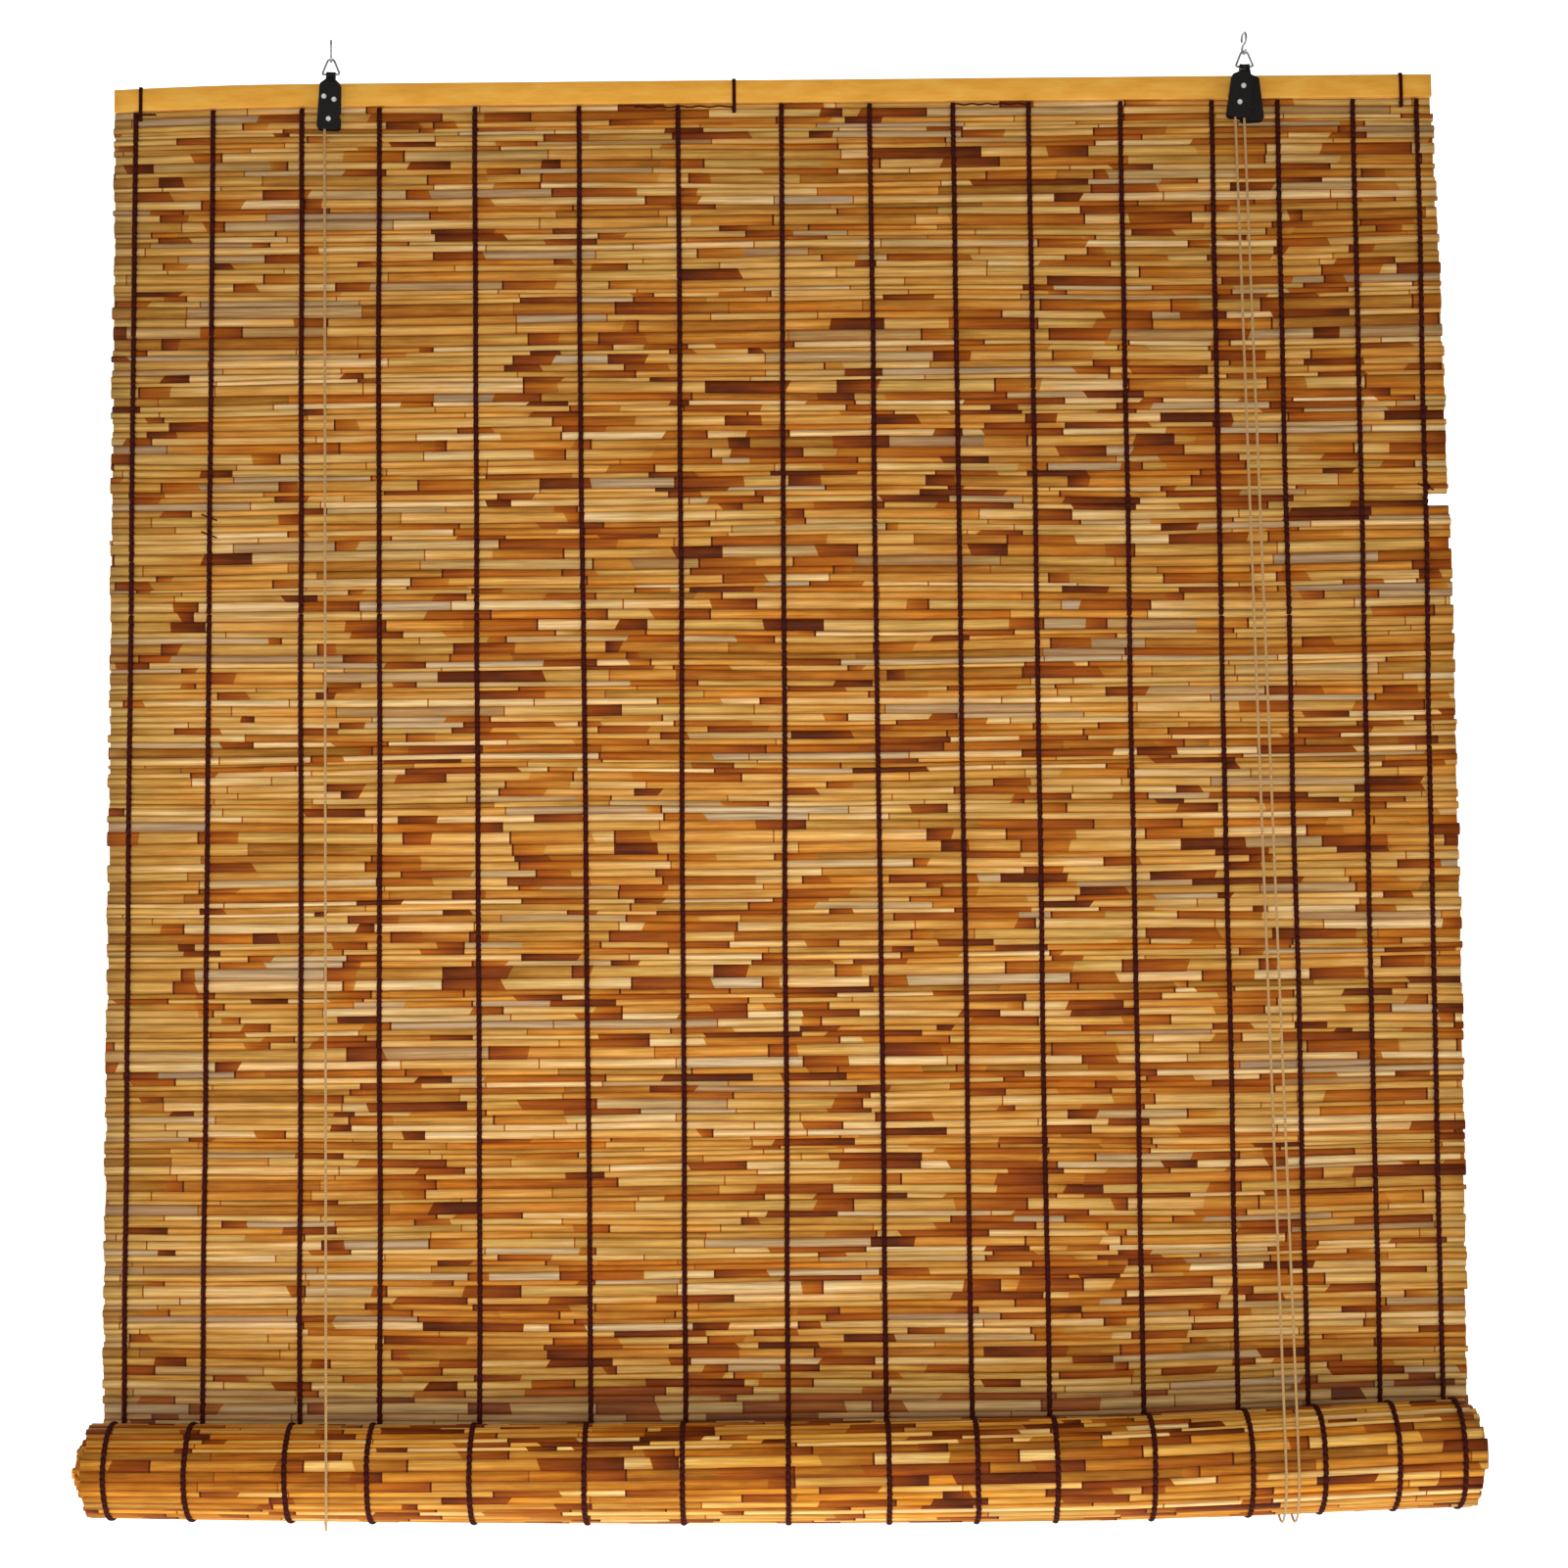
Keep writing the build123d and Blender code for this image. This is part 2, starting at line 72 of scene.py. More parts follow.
# Rail and mat
HALF_WIDTH = 0.600
RAIL_TOP = -0.037
RAIL_HEIGHT = 0.021
RAIL_BOTTOM = RAIL_TOP - RAIL_HEIGHT
RAIL_HALF_DEPTH = 0.004
DROOP_START = -0.422
DROOP = 0.0042
MAT_TOP = -0.0603
REED_PITCH = 0.0064
REEDS = 190
MAT_BOTTOM = MAT_TOP - REEDS * REED_PITCH
ROLL_Z = MAT_BOTTOM - 0.0003
REED_HALF_DEPTH = 0.0023
REED_OVERLAP = 0.0006
# Angles round a reed's section from its front, close together where the light falls
REED_SECTION = [-88, -62, -32, 0, 32, 62, 88, 130, 180, 230]
NOTCH_REEDS = (56, 57)
NOTCH_DEPTH = 0.014
BULGE = 0.0075

# Warp threads: places at the top of the mat, and how far each drifts by the foot
WARP_XS = [-0.5808, -0.510, -0.429, -0.3588, -0.2712, -0.177, -0.0858, 0.0072,
           0.0882, 0.1638, 0.2328, 0.3162, 0.399, 0.459, 0.528, 0.5862]
WARP_DRIFTS = [0.0, -1.6, 2.7, 3.1, 3.4, 6.6, -1.0, -3.5, 1.7, 1.0, 0.0, 0.0, 0.0, 1.5, -3.8, -6.8]
# Warps that carry knots on the way down, with the share of the mat's length
KNOTS = {1: (0.309, 0.322), 15: (0.294,)}
STRAND_RADIUS = 0.00105
STRAND_FLAT = 2.25
STRAND_SPREAD = 0.0003
STRAND_SIDES = 5
# The four places along a reed's height where a strand's line bends, and how square it lies over the reed
STRAND_BENDS = (0.0, 0.12, 0.5, 0.88)
STRAND_SQUARENESS = 0.2

# Reeds: joints along the stem, leaf sheaths at the joints, and how tones and colours spread
BANDS = 4
RING_STEP = 0.034
JOINT_SPACING = 0.124
JOINT_SPACING_SPREAD = 0.004
JOINT_DRIFT = 0.05
JOINT_STRAY = 0.018
SHORTEST_STRETCH = 0.012
SHADE_SPREAD = 0.15
GREY_SHARE = 0.12
GREY_FROM = 0.75
STRAW_UP_TO = 0.65
SHEATH_SHARE = 0.98
SHEATH_LEAST = 0.011
SHEATH_SPREAD = 0.052
SHEATH_TONE = (0.46, 0.25)
MOUTH_SLANT = 0.0034
TONE_SWING = 0.45
THINNEST_REED = 0.0016
# Where the reeds' edges stray: all together, each alone, and by their taper
EDGE_STRAY = (0.0034, 0.0015, 0.0010)
# Share of the mat's length where the painted shade at its foot starts, and X where the painted shade at its
# left end does
PAINTED_SHADE_FOOT = 0.89
PAINTED_SHADE_LEFT = -0.48

# Roll: half turns on two centres half a pitch apart, each turn shifted to -X
ROLL_RADIUS = 0.043
TURN_PITCH = 0.0056
ROLL_TURNS = 6
TURN_SHIFT = 0.0024

# Cord routes in metres, the control points of each cord's line
LEFT_X = -0.402
RIGHT_X = 0.4294
BLOCK_Y = -0.0082
FRONT_BLOCK_Y = -0.0186
LEFT_AXLE = (-0.403694, -0.072366)
RIGHT_AXLE = (0.422377, -0.067313)
CORD_WRAP = 0.0040
CORD_SIDES = 8
CORD_STEP = 0.007
KNOT_Y = 0.0064
KNOT_Z = -0.041
LEFT_ROUTE = [
    (LEFT_X - 0.0080, KNOT_Y, KNOT_Z),
    (LEFT_X - 0.0040, 0.0044, ROLL_Z - 0.0210),
    (LEFT_X + 0.0020, -0.0240, ROLL_Z - 0.0506),
    (LEFT_X + 0.0090, -0.0654, ROLL_Z - 0.0500),
    (LEFT_X + 0.0130, -0.0946, ROLL_Z - 0.0186),
    (LEFT_AXLE[0] - CORD_WRAP, BLOCK_Y, LEFT_AXLE[1] + 0.0016),
    (LEFT_AXLE[0] - 0.0016, BLOCK_Y, LEFT_AXLE[1] + CORD_WRAP),
    (LEFT_AXLE[0] + 0.0044, BLOCK_Y, LEFT_AXLE[1] + CORD_WRAP),
    (LEFT_AXLE[0] + 0.0071, BLOCK_Y + 0.0034, LEFT_AXLE[1] + CORD_WRAP),
    (LEFT_AXLE[0] + 0.0071, 0.0046, LEFT_AXLE[1] + CORD_WRAP),
    (LEFT_AXLE[0] + 0.0114, KNOT_Y + 0.0016, LEFT_AXLE[1] + CORD_WRAP),
    (RIGHT_X - 0.0334, KNOT_Y, RAIL_BOTTOM + 0.009),
]
RIGHT_ROUTE = [
    (RIGHT_X + 0.0016, KNOT_Y, KNOT_Z),
    (RIGHT_X + 0.0016, 0.0044, ROLL_Z - 0.0210),
    (RIGHT_X, -0.0240, ROLL_Z - 0.0506),
    (RIGHT_X - 0.0022, -0.0654, ROLL_Z - 0.0500),
    (RIGHT_X - 0.0034, -0.0946, ROLL_Z - 0.0186),
    (RIGHT_AXLE[0] - CORD_WRAP, FRONT_BLOCK_Y, RIGHT_AXLE[1] + 0.0016),
    (RIGHT_AXLE[0] - 0.0016, FRONT_BLOCK_Y, RIGHT_AXLE[1] + CORD_WRAP),
    (RIGHT_AXLE[0] + 0.0016, FRONT_BLOCK_Y, RIGHT_AXLE[1] + CORD_WRAP),
    (RIGHT_AXLE[0] + CORD_WRAP, FRONT_BLOCK_Y, RIGHT_AXLE[1] + 0.0016),
    (RIGHT_X + 0.0076, -0.0946, ROLL_Z - 0.0186),
    (RIGHT_X + 0.0090, -0.0654, ROLL_Z - 0.0500),
    (RIGHT_X + 0.0112, -0.0240, ROLL_Z - 0.0506),
    (RIGHT_X + 0.0122, 0.0044, ROLL_Z - 0.0210),
    (RIGHT_X + 0.0122, KNOT_Y, KNOT_Z),
]


# ---- small helpers


def smooth(value):
    value = min(1.0, max(0.0, value))
    return value * value * (3 - 2 * value)


def wave(a, b, c=0.0):
    """Smooth noise from -1 to 1."""
    return noise.noise(Vector((a + 31.7, b + 17.3, c + 5.1)))


def srgb(code):
    """A colour written as #rrggbb, in linear light with full alpha."""
    parts = [int(code[i:i + 2], 16) / 255 for i in (1, 3, 5)]
    return tuple(c / 12.92 if c <= 0.04045 else ((c + 0.055) / 1.055) ** 2.4 for c in parts) + (1.0,)


def fill_inputs(tree, node, inputs):
    """Set a node's inputs: each gets a value, or a link from another node's output."""
    for key, value in inputs.items():
        if isinstance(value, bpy.types.NodeSocket):
            tree.links.new(value, node.inputs[key])
        else:
            node.inputs[key].default_value = value


def add_node(tree, kind, inputs=None, out=0, stops=(), **settings):
    """Add a shader node and return one of its outputs.

    The settings are the node's own properties, and stops are a colour ramp's (position, colour) pairs.
    """
    node = tree.nodes.new("ShaderNode" + kind)
    for name, value in settings.items():
        setattr(node, name, value)
    fill_inputs(tree, node, inputs or {})
    if stops:
        elements = node.color_ramp.elements
        while len(elements) < len(stops):
            elements.new(0.5)
        for element, (position, color) in zip(elements, stops):
            element.position = position
            element.color = srgb(color) if isinstance(color, str) else color
    return node.outputs[out]


def fleck(tree, size, detail=2.0, roughness=0.5):
    """A soft uneven pattern on the piece itself; size is one fleck's length in mm along X, Y and Z."""
    place = add_node(tree, "TexCoord", out="Object")
    fit = add_node(tree, "Mapping", {"Vector": place, "Scale": [1000 / s for s in size]})
    return add_node(tree, "TexNoise", {"Vector": fit, "Scale": 1.0, "Detail": detail, "Roughness": roughness})


def new_material(name):
    """A material with one Principled shader; returns the material, its tree and the shader."""
    made = bpy.data.materials.new(name)
    made.use_nodes = True
    return made, made.node_tree, made.node_tree.nodes["Principled BSDF"]


def add_piece(name, mesh, material, body="", stands_for=()):
    """Put a finished mesh in the scene as a piece that rides on a body and stands for CAD nodes."""
    mesh.materials.append(material)
    piece = bpy.data.objects.new(name, mesh)
    bpy.context.scene.collection.objects.link(piece)
    if body:
        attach(piece, body)
    if stands_for:
        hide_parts(*stands_for)
    return piece


class Shell:
    """Tubes gathered into one mesh. Each tube is rings of points that run anticlockwise about its way.

    The reeds and threads are thousands of tubes whose every ring has its own size, lean and tint, so they
    are worked out as arrays. reed_tint holds red 1 on a leaf sheath, green the tone from dark to pale, blue
    the hue from warm over straw to faded grey, both with painted shade towards the left ends and the mat's
    foot, and alpha the place across the reed, 0 at its upper edge, from which the material paints shade into
    the creases between reeds.
    strand_way holds how far along the cord a point lies, and its share of the way round.
    """

    def __init__(self):
        self.points = []
        self.faces = []
        self.caps = []
        self.tints = []
        self.ways = []
        self.count = 0

    def tube(self, rings, tints=None, ways=None, closed=False):
        rows, sides = rings.shape[:2]
        base = self.count + np.arange(rows * sides).reshape(rows, sides)
        after = np.roll(base, -1, axis=1)
        quads = np.stack([base[:-1], after[:-1], after[1:], base[1:]], axis=-1).reshape(-1, 4)
        self.faces.append(quads)
        if not closed:
            self.caps.append(base[0][::-1])
            self.caps.append(base[-1])
        self.points.append(rings.reshape(-1, 3))
        if tints is not None:
            across = 0.5 + 0.5 * np.sin(np.radians(REED_SECTION))
            self.tints.append(np.column_stack([np.repeat(tints, sides, axis=0), np.tile(across, rows)]))
        if ways is not None:
            around = np.tile(np.arange(sides) / sides, rows)
            self.ways.append(np.stack([np.repeat(ways, sides), around, np.zeros(rows * sides)], axis=-1))
        self.count += rows * sides

    def build(self, name, material, body, stands_for=()):
        mesh = bpy.data.meshes.new(name)
        quads = np.concatenate(self.faces)
        faces = quads.tolist() + [cap.tolist() for cap in self.caps]
        mesh.from_pydata(np.concatenate(self.points).tolist(), [], faces)
        curved = np.zeros(len(faces), bool)
        curved[:len(quads)] = True
        mesh.polygons.foreach_set("use_smooth", curved)
        if self.tints:
            layer = mesh.attributes.new("reed_tint", "FLOAT_COLOR", "POINT")
            layer.data.foreach_set("color", np.concatenate(self.tints).astype(np.float32).ravel())
        if self.ways:
            layer = mesh.attributes.new("strand_way", "FLOAT_VECTOR", "POINT")
            layer.data.foreach_set("vector", np.concatenate(self.ways).astype(np.float32).ravel())
        return add_piece(name, mesh, material, body, stands_for)


def sweep(path, radius, sides, start_side=(0.0, 1.0, 0.0), twist=0.0):
    """Rings round a path; the side vector is carried along without spin, plus twist radians in all."""
    path = np.asarray(path, float)
    ways = np.gradient(path, axis=0)
    ways /= np.linalg.norm(ways, axis=1)[:, None]
    side = np.array(start_side, float)
    radii = np.broadcast_to(np.asarray(radius, float), (len(path),))
    angles = np.arange(sides) * 2 * math.pi / sides
    rings = np.empty((len(path), sides, 3))
    for i, way in enumerate(ways):
        side = side - way * (side @ way)
        side /= np.linalg.norm(side)
        other = np.cross(way, side)
        turn = angles + twist * i / max(1, len(path) - 1)
        ring = np.outer(np.cos(turn), side) + np.outer(np.sin(turn), other)
        rings[i] = path[i] + ring * radii[i]
    return rings


def flat_strand(path):
    """A soft thread that lies wider than thick over the reeds."""
    rings = sweep(path, STRAND_RADIUS, STRAND_SIDES, (1.0, 0.0, 0.0))
    middle = np.asarray(path)[:, None, 0]
    rings[:, :, 0] = middle + (rings[:, :, 0] - middle) * STRAND_FLAT
    return rings


def knot(shell, center, size, seed):
    """A small overhand knot: a few turns of thread pulled into a ball."""
    rng = random.Random(seed)
    steps = 22
    phase = rng.uniform(0, 6.28)
    path = []
    for i in range(steps + 1):
        t = i / steps * 2 * math.pi
        x = math.sin(2 * t + phase) * 0.62
        y = math.sin(3 * t) * 0.55
        z = math.cos(2 * t + phase) * (0.75 + 0.2 * math.cos(3 * t))
        path.append((center[0] + x * size, center[1] + y * size, center[2] + z * size))
    shell.tube(sweep(path, size * 0.5, STRAND_SIDES, (0.3, 0.8, 0.2)))


# ---- shape of the hanging mat and the roll


def rail_droop(x):
    return DROOP * max(0.0, (DROOP_START - x) / (DROOP_START + HALF_WIDTH)) ** 2


def roll_sag(x):
    """How far the roll's middle line lies off level at x: it sags between the cords, its right end rises."""
    return -0.004 + 0.0045 * (x / 0.5) ** 2 + 0.006 * smooth((x - 0.25) / 0.35)


def roll_scale(x):
    """The roll is a little thicker at its right end."""
    return 0.985 + (0.055 if x < 0 else 0.06) * x / HALF_WIDTH


def mat_share(z):
    """0 at the top of the mat, 1 at its foot."""
    return (MAT_TOP - z) / (MAT_TOP - MAT_BOTTOM)


def mat_shift(x, z):
    """How far a point of the mat lies above its level place: rail's droop, roll's sag, slack between."""
    top = math.exp((z - MAT_TOP) / 0.035)
    foot = math.exp((MAT_BOTTOM - z) / 0.16)
    middle = mat_share(z) * (1 - mat_share(z)) * 4
    slack = 0.0016 * wave(x * 1.7, z * 3.1) * min(1.0, 3 * middle)
    return -rail_droop(x) * top + roll_sag(x) * foot * smooth(mat_share(z) * 8) + slack


def mat_bulge(z):
    """The right edge stands out a little half way down."""
    return BULGE * max(0.0, math.sin(math.pi * min(1.0, max(0.0, mat_share(z))))) ** 0.8


def reed_run(rng, lane_phase, z, tone):
    """Stretches along a reed as (start, end, sheath, first tone, last tone, grey, swell), left to right.

    A reed's joints carry dark leaf sheaths that end in a small black ring, and the stem that comes out of a
    sheath starts pale. Sheaths are short and rare at the left, long and clustered further right.
    """
    tip = rng.choice((-1, 1))
    spacing = JOINT_SPACING + rng.gauss(0, JOINT_SPACING_SPREAD)
    nodes = []
    x = -HALF_WIDTH - 0.16 + lane_phase * spacing
    while x < HALF_WIDTH + 0.12:
        nodes.append(x + JOINT_DRIFT * wave(x * 5.0, z * 9.0) + rng.gauss(0, JOINT_STRAY))
        x += spacing
    nodes.sort()
    runs = []
    ends = [-HALF_WIDTH - 0.3] + nodes + [HALF_WIDTH + 0.3]
    for a, b in zip(ends, ends[1:]):
        if b - a < SHORTEST_STRETCH:
            continue
        shade = min(1.0, max(0.0, tone + rng.gauss(0, SHADE_SPREAD)))
        grey = rng.uniform(GREY_FROM, 1.0) if rng.random() < GREY_SHARE else rng.uniform(0.0, STRAW_UP_TO)
        at = a if tip > 0 else b
        left = smooth((-0.30 - at) / 0.12)
        share = SHEATH_SHARE - 0.28 * left - 0.1 * smooth((at - 0.40) / 0.1)
        cluster = 0.76 + 0.6 * wave(at * 4.0, z * 8.0, 3.3)
        reach = 0.0
        if rng.random() < share * min(1.0, max(0.2, cluster)):
            length = SHEATH_LEAST + (SHEATH_SPREAD - 0.032 * left) * rng.weibullvariate(0.8, 1.5)
            reach = min(0.8 * (b - a), length)
        dark = min(1.0, max(0.0, rng.gauss(*SHEATH_TONE)))
        pale = min(1.0, shade + 0.16)
        if reach:
            ring = (a, a + 0.0018, 1.0, 0.0, 0.0, 0.0, 1.1)
            husk = (a + 0.0018, a + reach, 1.0, dark - 0.16, dark + 0.16, grey * 0.6, 1.08)
        else:
            ring = (a, a + 0.0012, 1.0, 0.45, 0.45, 0.0, 1.05)
            husk = (a + 0.0012, a + 0.0012, 1.0, 0.0, 0.0, 0.0, 1.0)
        stem = (max(husk[1], ring[1]), b, 0.0, shade - 0.06, shade, grey, 0.98)
        before = (b - 0.03 - 0.05 * rng.random(), b, 0.0, shade, pale, grey, 0.97)
        stem = (stem[0], max(stem[0], before[0]), *stem[2:])
        before = (max(stem[1], before[0]), *before[1:])
        pieces = [ring, husk, stem, before]
        if tip < 0:
            pieces = [(a + b - q[1], a + b - q[0], q[2], q[4], q[3], q[5], q[6]) for q in pieces[::-1]]
        runs += [q for q in pieces if q[1] - q[0] > 0.0009]
    return runs


def reed_stations(rng, runs, left, right, step):
    """x places, tints, swells and slants of a reed's rings, doubled where a stretch ends to keep a sharp edge.

    The open mouth of a leaf sheath is cut on a slant, so its rings lean.
    """
    xs, tints, swells, slants = [], [], [], []
    edge = 0.0002
    before = None
    for start, end, sheath, first, last, grey, swell in runs:
        a, b = max(start + edge, left), min(end - edge, right)
        if b - a < 0.0004:
            continue
        count = max(1, math.ceil((b - a) / step))
        size = (b - a) / count
        lean = 0.0
        if before and before[0] != sheath and min(before[1], b - a) > 0.003:
            lean = rng.choice((-1, 1)) * min(rng.uniform(0.0002, MOUTH_SLANT), 0.4 * size, 0.4 * before[1])
            slants[-1] = lean
        for i in range(count + 1):
            xs.append(a + size * i)
            share = (xs[-1] - start) / (end - start)
            tints.append((sheath, min(1.0, max(0.0, first + (last - first) * share)), grey))
            swells.append(swell)
            slants.append(0.0 if i else lean)
        before = (sheath, size)
    xs[0], xs[-1] = left, right
    return np.array(xs), np.array(tints), np.array(swells), np.array(slants)


def reed_rings(xs, slants, centers, outward, along, depth, height):
    """Rings of a reed: centers are (n, 2) in Y and Z, outward and along (n, 2), half sizes (n,)."""
    angles = np.radians(REED_SECTION)
    c, s = np.cos(angles), np.sin(angles)
    rings = np.empty((len(xs), len(angles), 3))
    rings[:, :, 0] = xs[:, None] + slants[:, None] * s
    for k in (0, 1):
        rings[:, :, k + 1] = (
            centers[:, k, None]
            + outward[:, k, None] * depth[:, None] * c
            + along[:, k, None] * height[:, None] * s
        )
    return rings


def uneven_edges(seed, count, total):
    """Uneven reed heights that add up to the whole; returns the count + 1 edges from 0."""
    rng = random.Random(seed)
    heights = np.array([rng.choice((rng.uniform(0.5, 0.9), rng.uniform(0.9, 1.6))) for _ in range(count)])
    return np.concatenate([[0], np.cumsum(heights)]) * total / heights.sum()


def edge_offset(i, x):
    """How far the line between two reeds strays from straight, from taper and crooked growth."""
    shared, own, taper = EDGE_STRAY
    stray = shared * wave(i * 0.11, x * 3.2) + own * wave(i * 1.9 + 60.0, x * 5.2)
    return stray + taper * math.sin(i * 12.9898) * x / HALF_WIDTH


def make_hanging_mat(seed, reed_material):
    rng = random.Random(seed)
    edges = uneven_edges(seed, REEDS, MAT_TOP - MAT_BOTTOM)
    band_size = math.ceil(REEDS / BANDS)
    phase = rng.random()
    tone = 0.5
    pieces = []
    for band in range(BANDS):
        shell = Shell()
        for i in range(band * band_size, min(REEDS, (band + 1) * band_size)):
            middle = MAT_TOP - (edges[i] + edges[i + 1]) / 2
            phase += rng.gauss(0, 0.16)
            right = HALF_WIDTH + mat_bulge(middle) + rng.uniform(-0.0018, 0.0012)
            left = -HALF_WIDTH + rng.uniform(-0.0012, 0.0016)
            if i in NOTCH_REEDS:
                right = HALF_WIDTH - NOTCH_DEPTH + rng.uniform(-0.002, 0.002)
            tone = 0.5 + rng.gauss(0, 0.19) - TONE_SWING * (tone - 0.5)
            runs = reed_run(rng, phase % 1.0, middle, tone)
            xs, tints, swells, slants = reed_stations(rng, runs, left, right, RING_STEP)
            # Painted shade: the stems darken and grey towards the mat's foot, under the roll, and towards its
            # left end
            foot = smooth((mat_share(middle) - PAINTED_SHADE_FOOT) / 0.08)
            painted_shade = np.array([max(foot, 0.85 * smooth((PAINTED_SHADE_LEFT - x) / 0.12)) for x in xs])
            tints[:, 1] *= 1 - 0.35 * painted_shade
            tints[:, 2] = np.maximum(tints[:, 2], 0.85 * painted_shade)
            upper = np.array([MAT_TOP - edges[i] + (edge_offset(i, x) if i else 0.0012) for x in xs])
            lower = np.array([MAT_TOP - edges[i + 1] + edge_offset(i + 1, x) for x in xs])
            shift = np.array([mat_shift(x, middle) for x in xs])
            height = np.maximum((upper - lower) / 2 + REED_OVERLAP, THINNEST_REED) * swells
            depth = REED_HALF_DEPTH * rng.uniform(0.85, 1.05) * swells
            sway = rng.uniform(-0.0009, 0.0006)
            centers = np.stack([np.full(len(xs), sway), (upper + lower) / 2 + shift], axis=1)
            outward = np.tile((-1.0, 0.0), (len(xs), 1))
            along = np.tile((0.0, -1.0), (len(xs), 1))
            shell.tube(reed_rings(xs, slants, centers, outward, along, depth, height), tints)
        stands_for = ("hanging_mat",) if band == 0 else ()
        piece = shell.build(f"hanging_reeds_{band + 1}", reed_material, "headrail", stands_for)
        pieces.append(piece)
    return pieces


def mat_squash(piece):
    """Gives a piece of the hanging mat its own copy of its mesh."""
    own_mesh(piece)


def roll_arc(half, angle, offset):
    """Y, Z and the outward direction on a half turn of the roll, at angle degrees from its start."""
    way = math.radians(-angle if half % 2 == 0 else 180.0 - angle)
    radius = ROLL_RADIUS - half * TURN_PITCH / 2 + offset
    center = -ROLL_RADIUS - (TURN_PITCH / 2 if half % 2 else 0.0)
    return center + radius * math.cos(way), radius * math.sin(way), (math.cos(way), math.sin(way))


def roll_place(y, dz, x):
    """A point of the level, even roll moved to where the tapering, sagging roll has it."""
    scale = roll_scale(x)
    spin = 0.13 * x / HALF_WIDTH
    oy, oz = y + ROLL_RADIUS, dz
    c, s = math.cos(spin), math.sin(spin)
    y, dz = oy * c + oz * s - ROLL_RADIUS, -oy * s + oz * c
    return y * scale, ROLL_Z + dz * scale + roll_sag(x)


def make_roll(seed, reed_material):
    rng = random.Random(seed)
    outer = Shell()
    inner = Shell()
    phase = rng.random()
    tone = 0.5
    for half in range(2 * ROLL_TURNS):
        radius = ROLL_RADIUS - half * TURN_PITCH / 2
        count = round(math.pi * radius / (REED_PITCH * 0.97))
        edges = uneven_edges(seed + half, count, 180.0)
        turn = half // 2
        shell = outer if half < 2 else inner
        for i in range(count):
            angle = (edges[i] + edges[i + 1]) / 2
            y, dz, out = roll_arc(half, angle, 0.0)
            half_height = math.radians(edges[i + 1] - edges[i]) / 2 * (radius + 0.0012)
            phase += rng.gauss(0, 0.11)
            right = HALF_WIDTH - 0.002 - turn * TURN_SHIFT + rng.uniform(-0.002, 0.0015)
            left = -HALF_WIDTH - turn * TURN_SHIFT + rng.uniform(-0.0015, 0.002)
            if half < 2:
                right -= 0.010 * smooth(out[1]) + 0.005 * smooth(-out[1] * 1.2)
            step = RING_STEP if half < 2 else 0.3
            tone = 0.52 + rng.gauss(0, 0.2) - TONE_SWING * (tone - 0.52)
            runs = reed_run(rng, phase % 1.0, half * 0.4 + i * 0.006, tone)
            if half >= 2:
                runs = [(-1.0, 1.0, 0.0, tone, tone, rng.uniform(0, 0.3), 1.0)]
            xs, tints, swells, slants = reed_stations(rng, runs, left, right, step)
            # Painted shade: the roll's stems darken towards their left end
            tints[:, 1] *= np.array([1 - 0.4 * smooth((-0.34 - x) / 0.2) for x in xs])
            tints[:, 2] *= 0.5
            lean = rng.uniform(-0.0006, 0.0006)
            centers = np.array([roll_place(y, dz, x) for x in xs])
            centers[:, 1] += lean * xs / HALF_WIDTH
            outward = np.tile(out, (len(xs), 1))
            along = np.stack([-outward[:, 1], outward[:, 0]], axis=1)
            scale = np.array([roll_scale(x) for x in xs])
            depth = 0.0022 * rng.uniform(0.9, 1.06) * swells * scale
            height = (half_height + REED_OVERLAP) * swells * scale
            shell.tube(reed_rings(xs, slants, centers, outward, along, depth, height), tints)
    outer.build("roll_reeds_outer", reed_material, "roll", ("rolled_mat",))
    inner.build("roll_reeds_inner", reed_material, "roll")


def warp_x(k, share):
    return WARP_XS[k] + WARP_DRIFTS[k] * MM * smooth(share) + 0.0011 * wave(k * 5.3, share * 7.0)


def twined_paths(gaps, x_at, place, over):
    """The two strands of a warp: each goes over one reed and under the next, and they cross between."""
    paths = ([], [])
    for i in range(len(gaps) - 1):
        for t in STRAND_BENDS:
            along = gaps[i] + (gaps[i + 1] - gaps[i]) * t
            swing = STRAND_SPREAD * math.cos(math.pi * (i + t))
            rise = over * math.sin(math.pi * t) ** STRAND_SQUARENESS
            for strand, side in ((0, 1), (1, -1)):
                front = side if i % 2 == 0 else -side
                paths[strand].append(place(x_at(along) + side * swing, along, front * rise))
    return paths


def make_warps(seed, thread_material):
    rng = random.Random(seed)
    edges = uneven_edges(seed, REEDS, MAT_TOP - MAT_BOTTOM)
    gaps = [MAT_TOP + 0.0004 - e for e in edges]
    over = REED_HALF_DEPTH + 0.0008 + STRAND_RADIUS * 0.8
    for k in range(len(WARP_XS)):
        shell = Shell()

        def place(x, z, out):
            return (x, -out, z + mat_shift(x, z))

        for path in twined_paths(gaps, lambda z: warp_x(k, mat_share(z)), place, over):
            shell.tube(flat_strand(path))
        top = (warp_x(k, 0), -over, MAT_TOP - 0.004 - rail_droop(WARP_XS[k]))
        knot(shell, top, 0.0017, rng.random())
        for at in KNOTS.get(k, ()):
            z = MAT_TOP - at * (MAT_TOP - MAT_BOTTOM)
            knot(shell, (warp_x(k, at) + rng.uniform(-0.002, 0.002), -over - 0.0006, z), 0.0021, rng.random())
            tail = [(warp_x(k, at) + side * 0.001 * s, -over - 0.0006 - 0.0002 * s, z - 0.0004 * s * side)
                    for side in (-1, 1) for s in range(1, 8)]
            shell.tube(sweep(tail[:7], STRAND_RADIUS * 0.7, STRAND_SIDES))
            shell.tube(sweep(tail[7:], STRAND_RADIUS * 0.7, STRAND_SIDES))
        name = f"twined_warp_{k + 1:02d}"
        mat_squash(shell.build(name, thread_material, "headrail", (f"warp_thread_{k + 1:02d}",)))


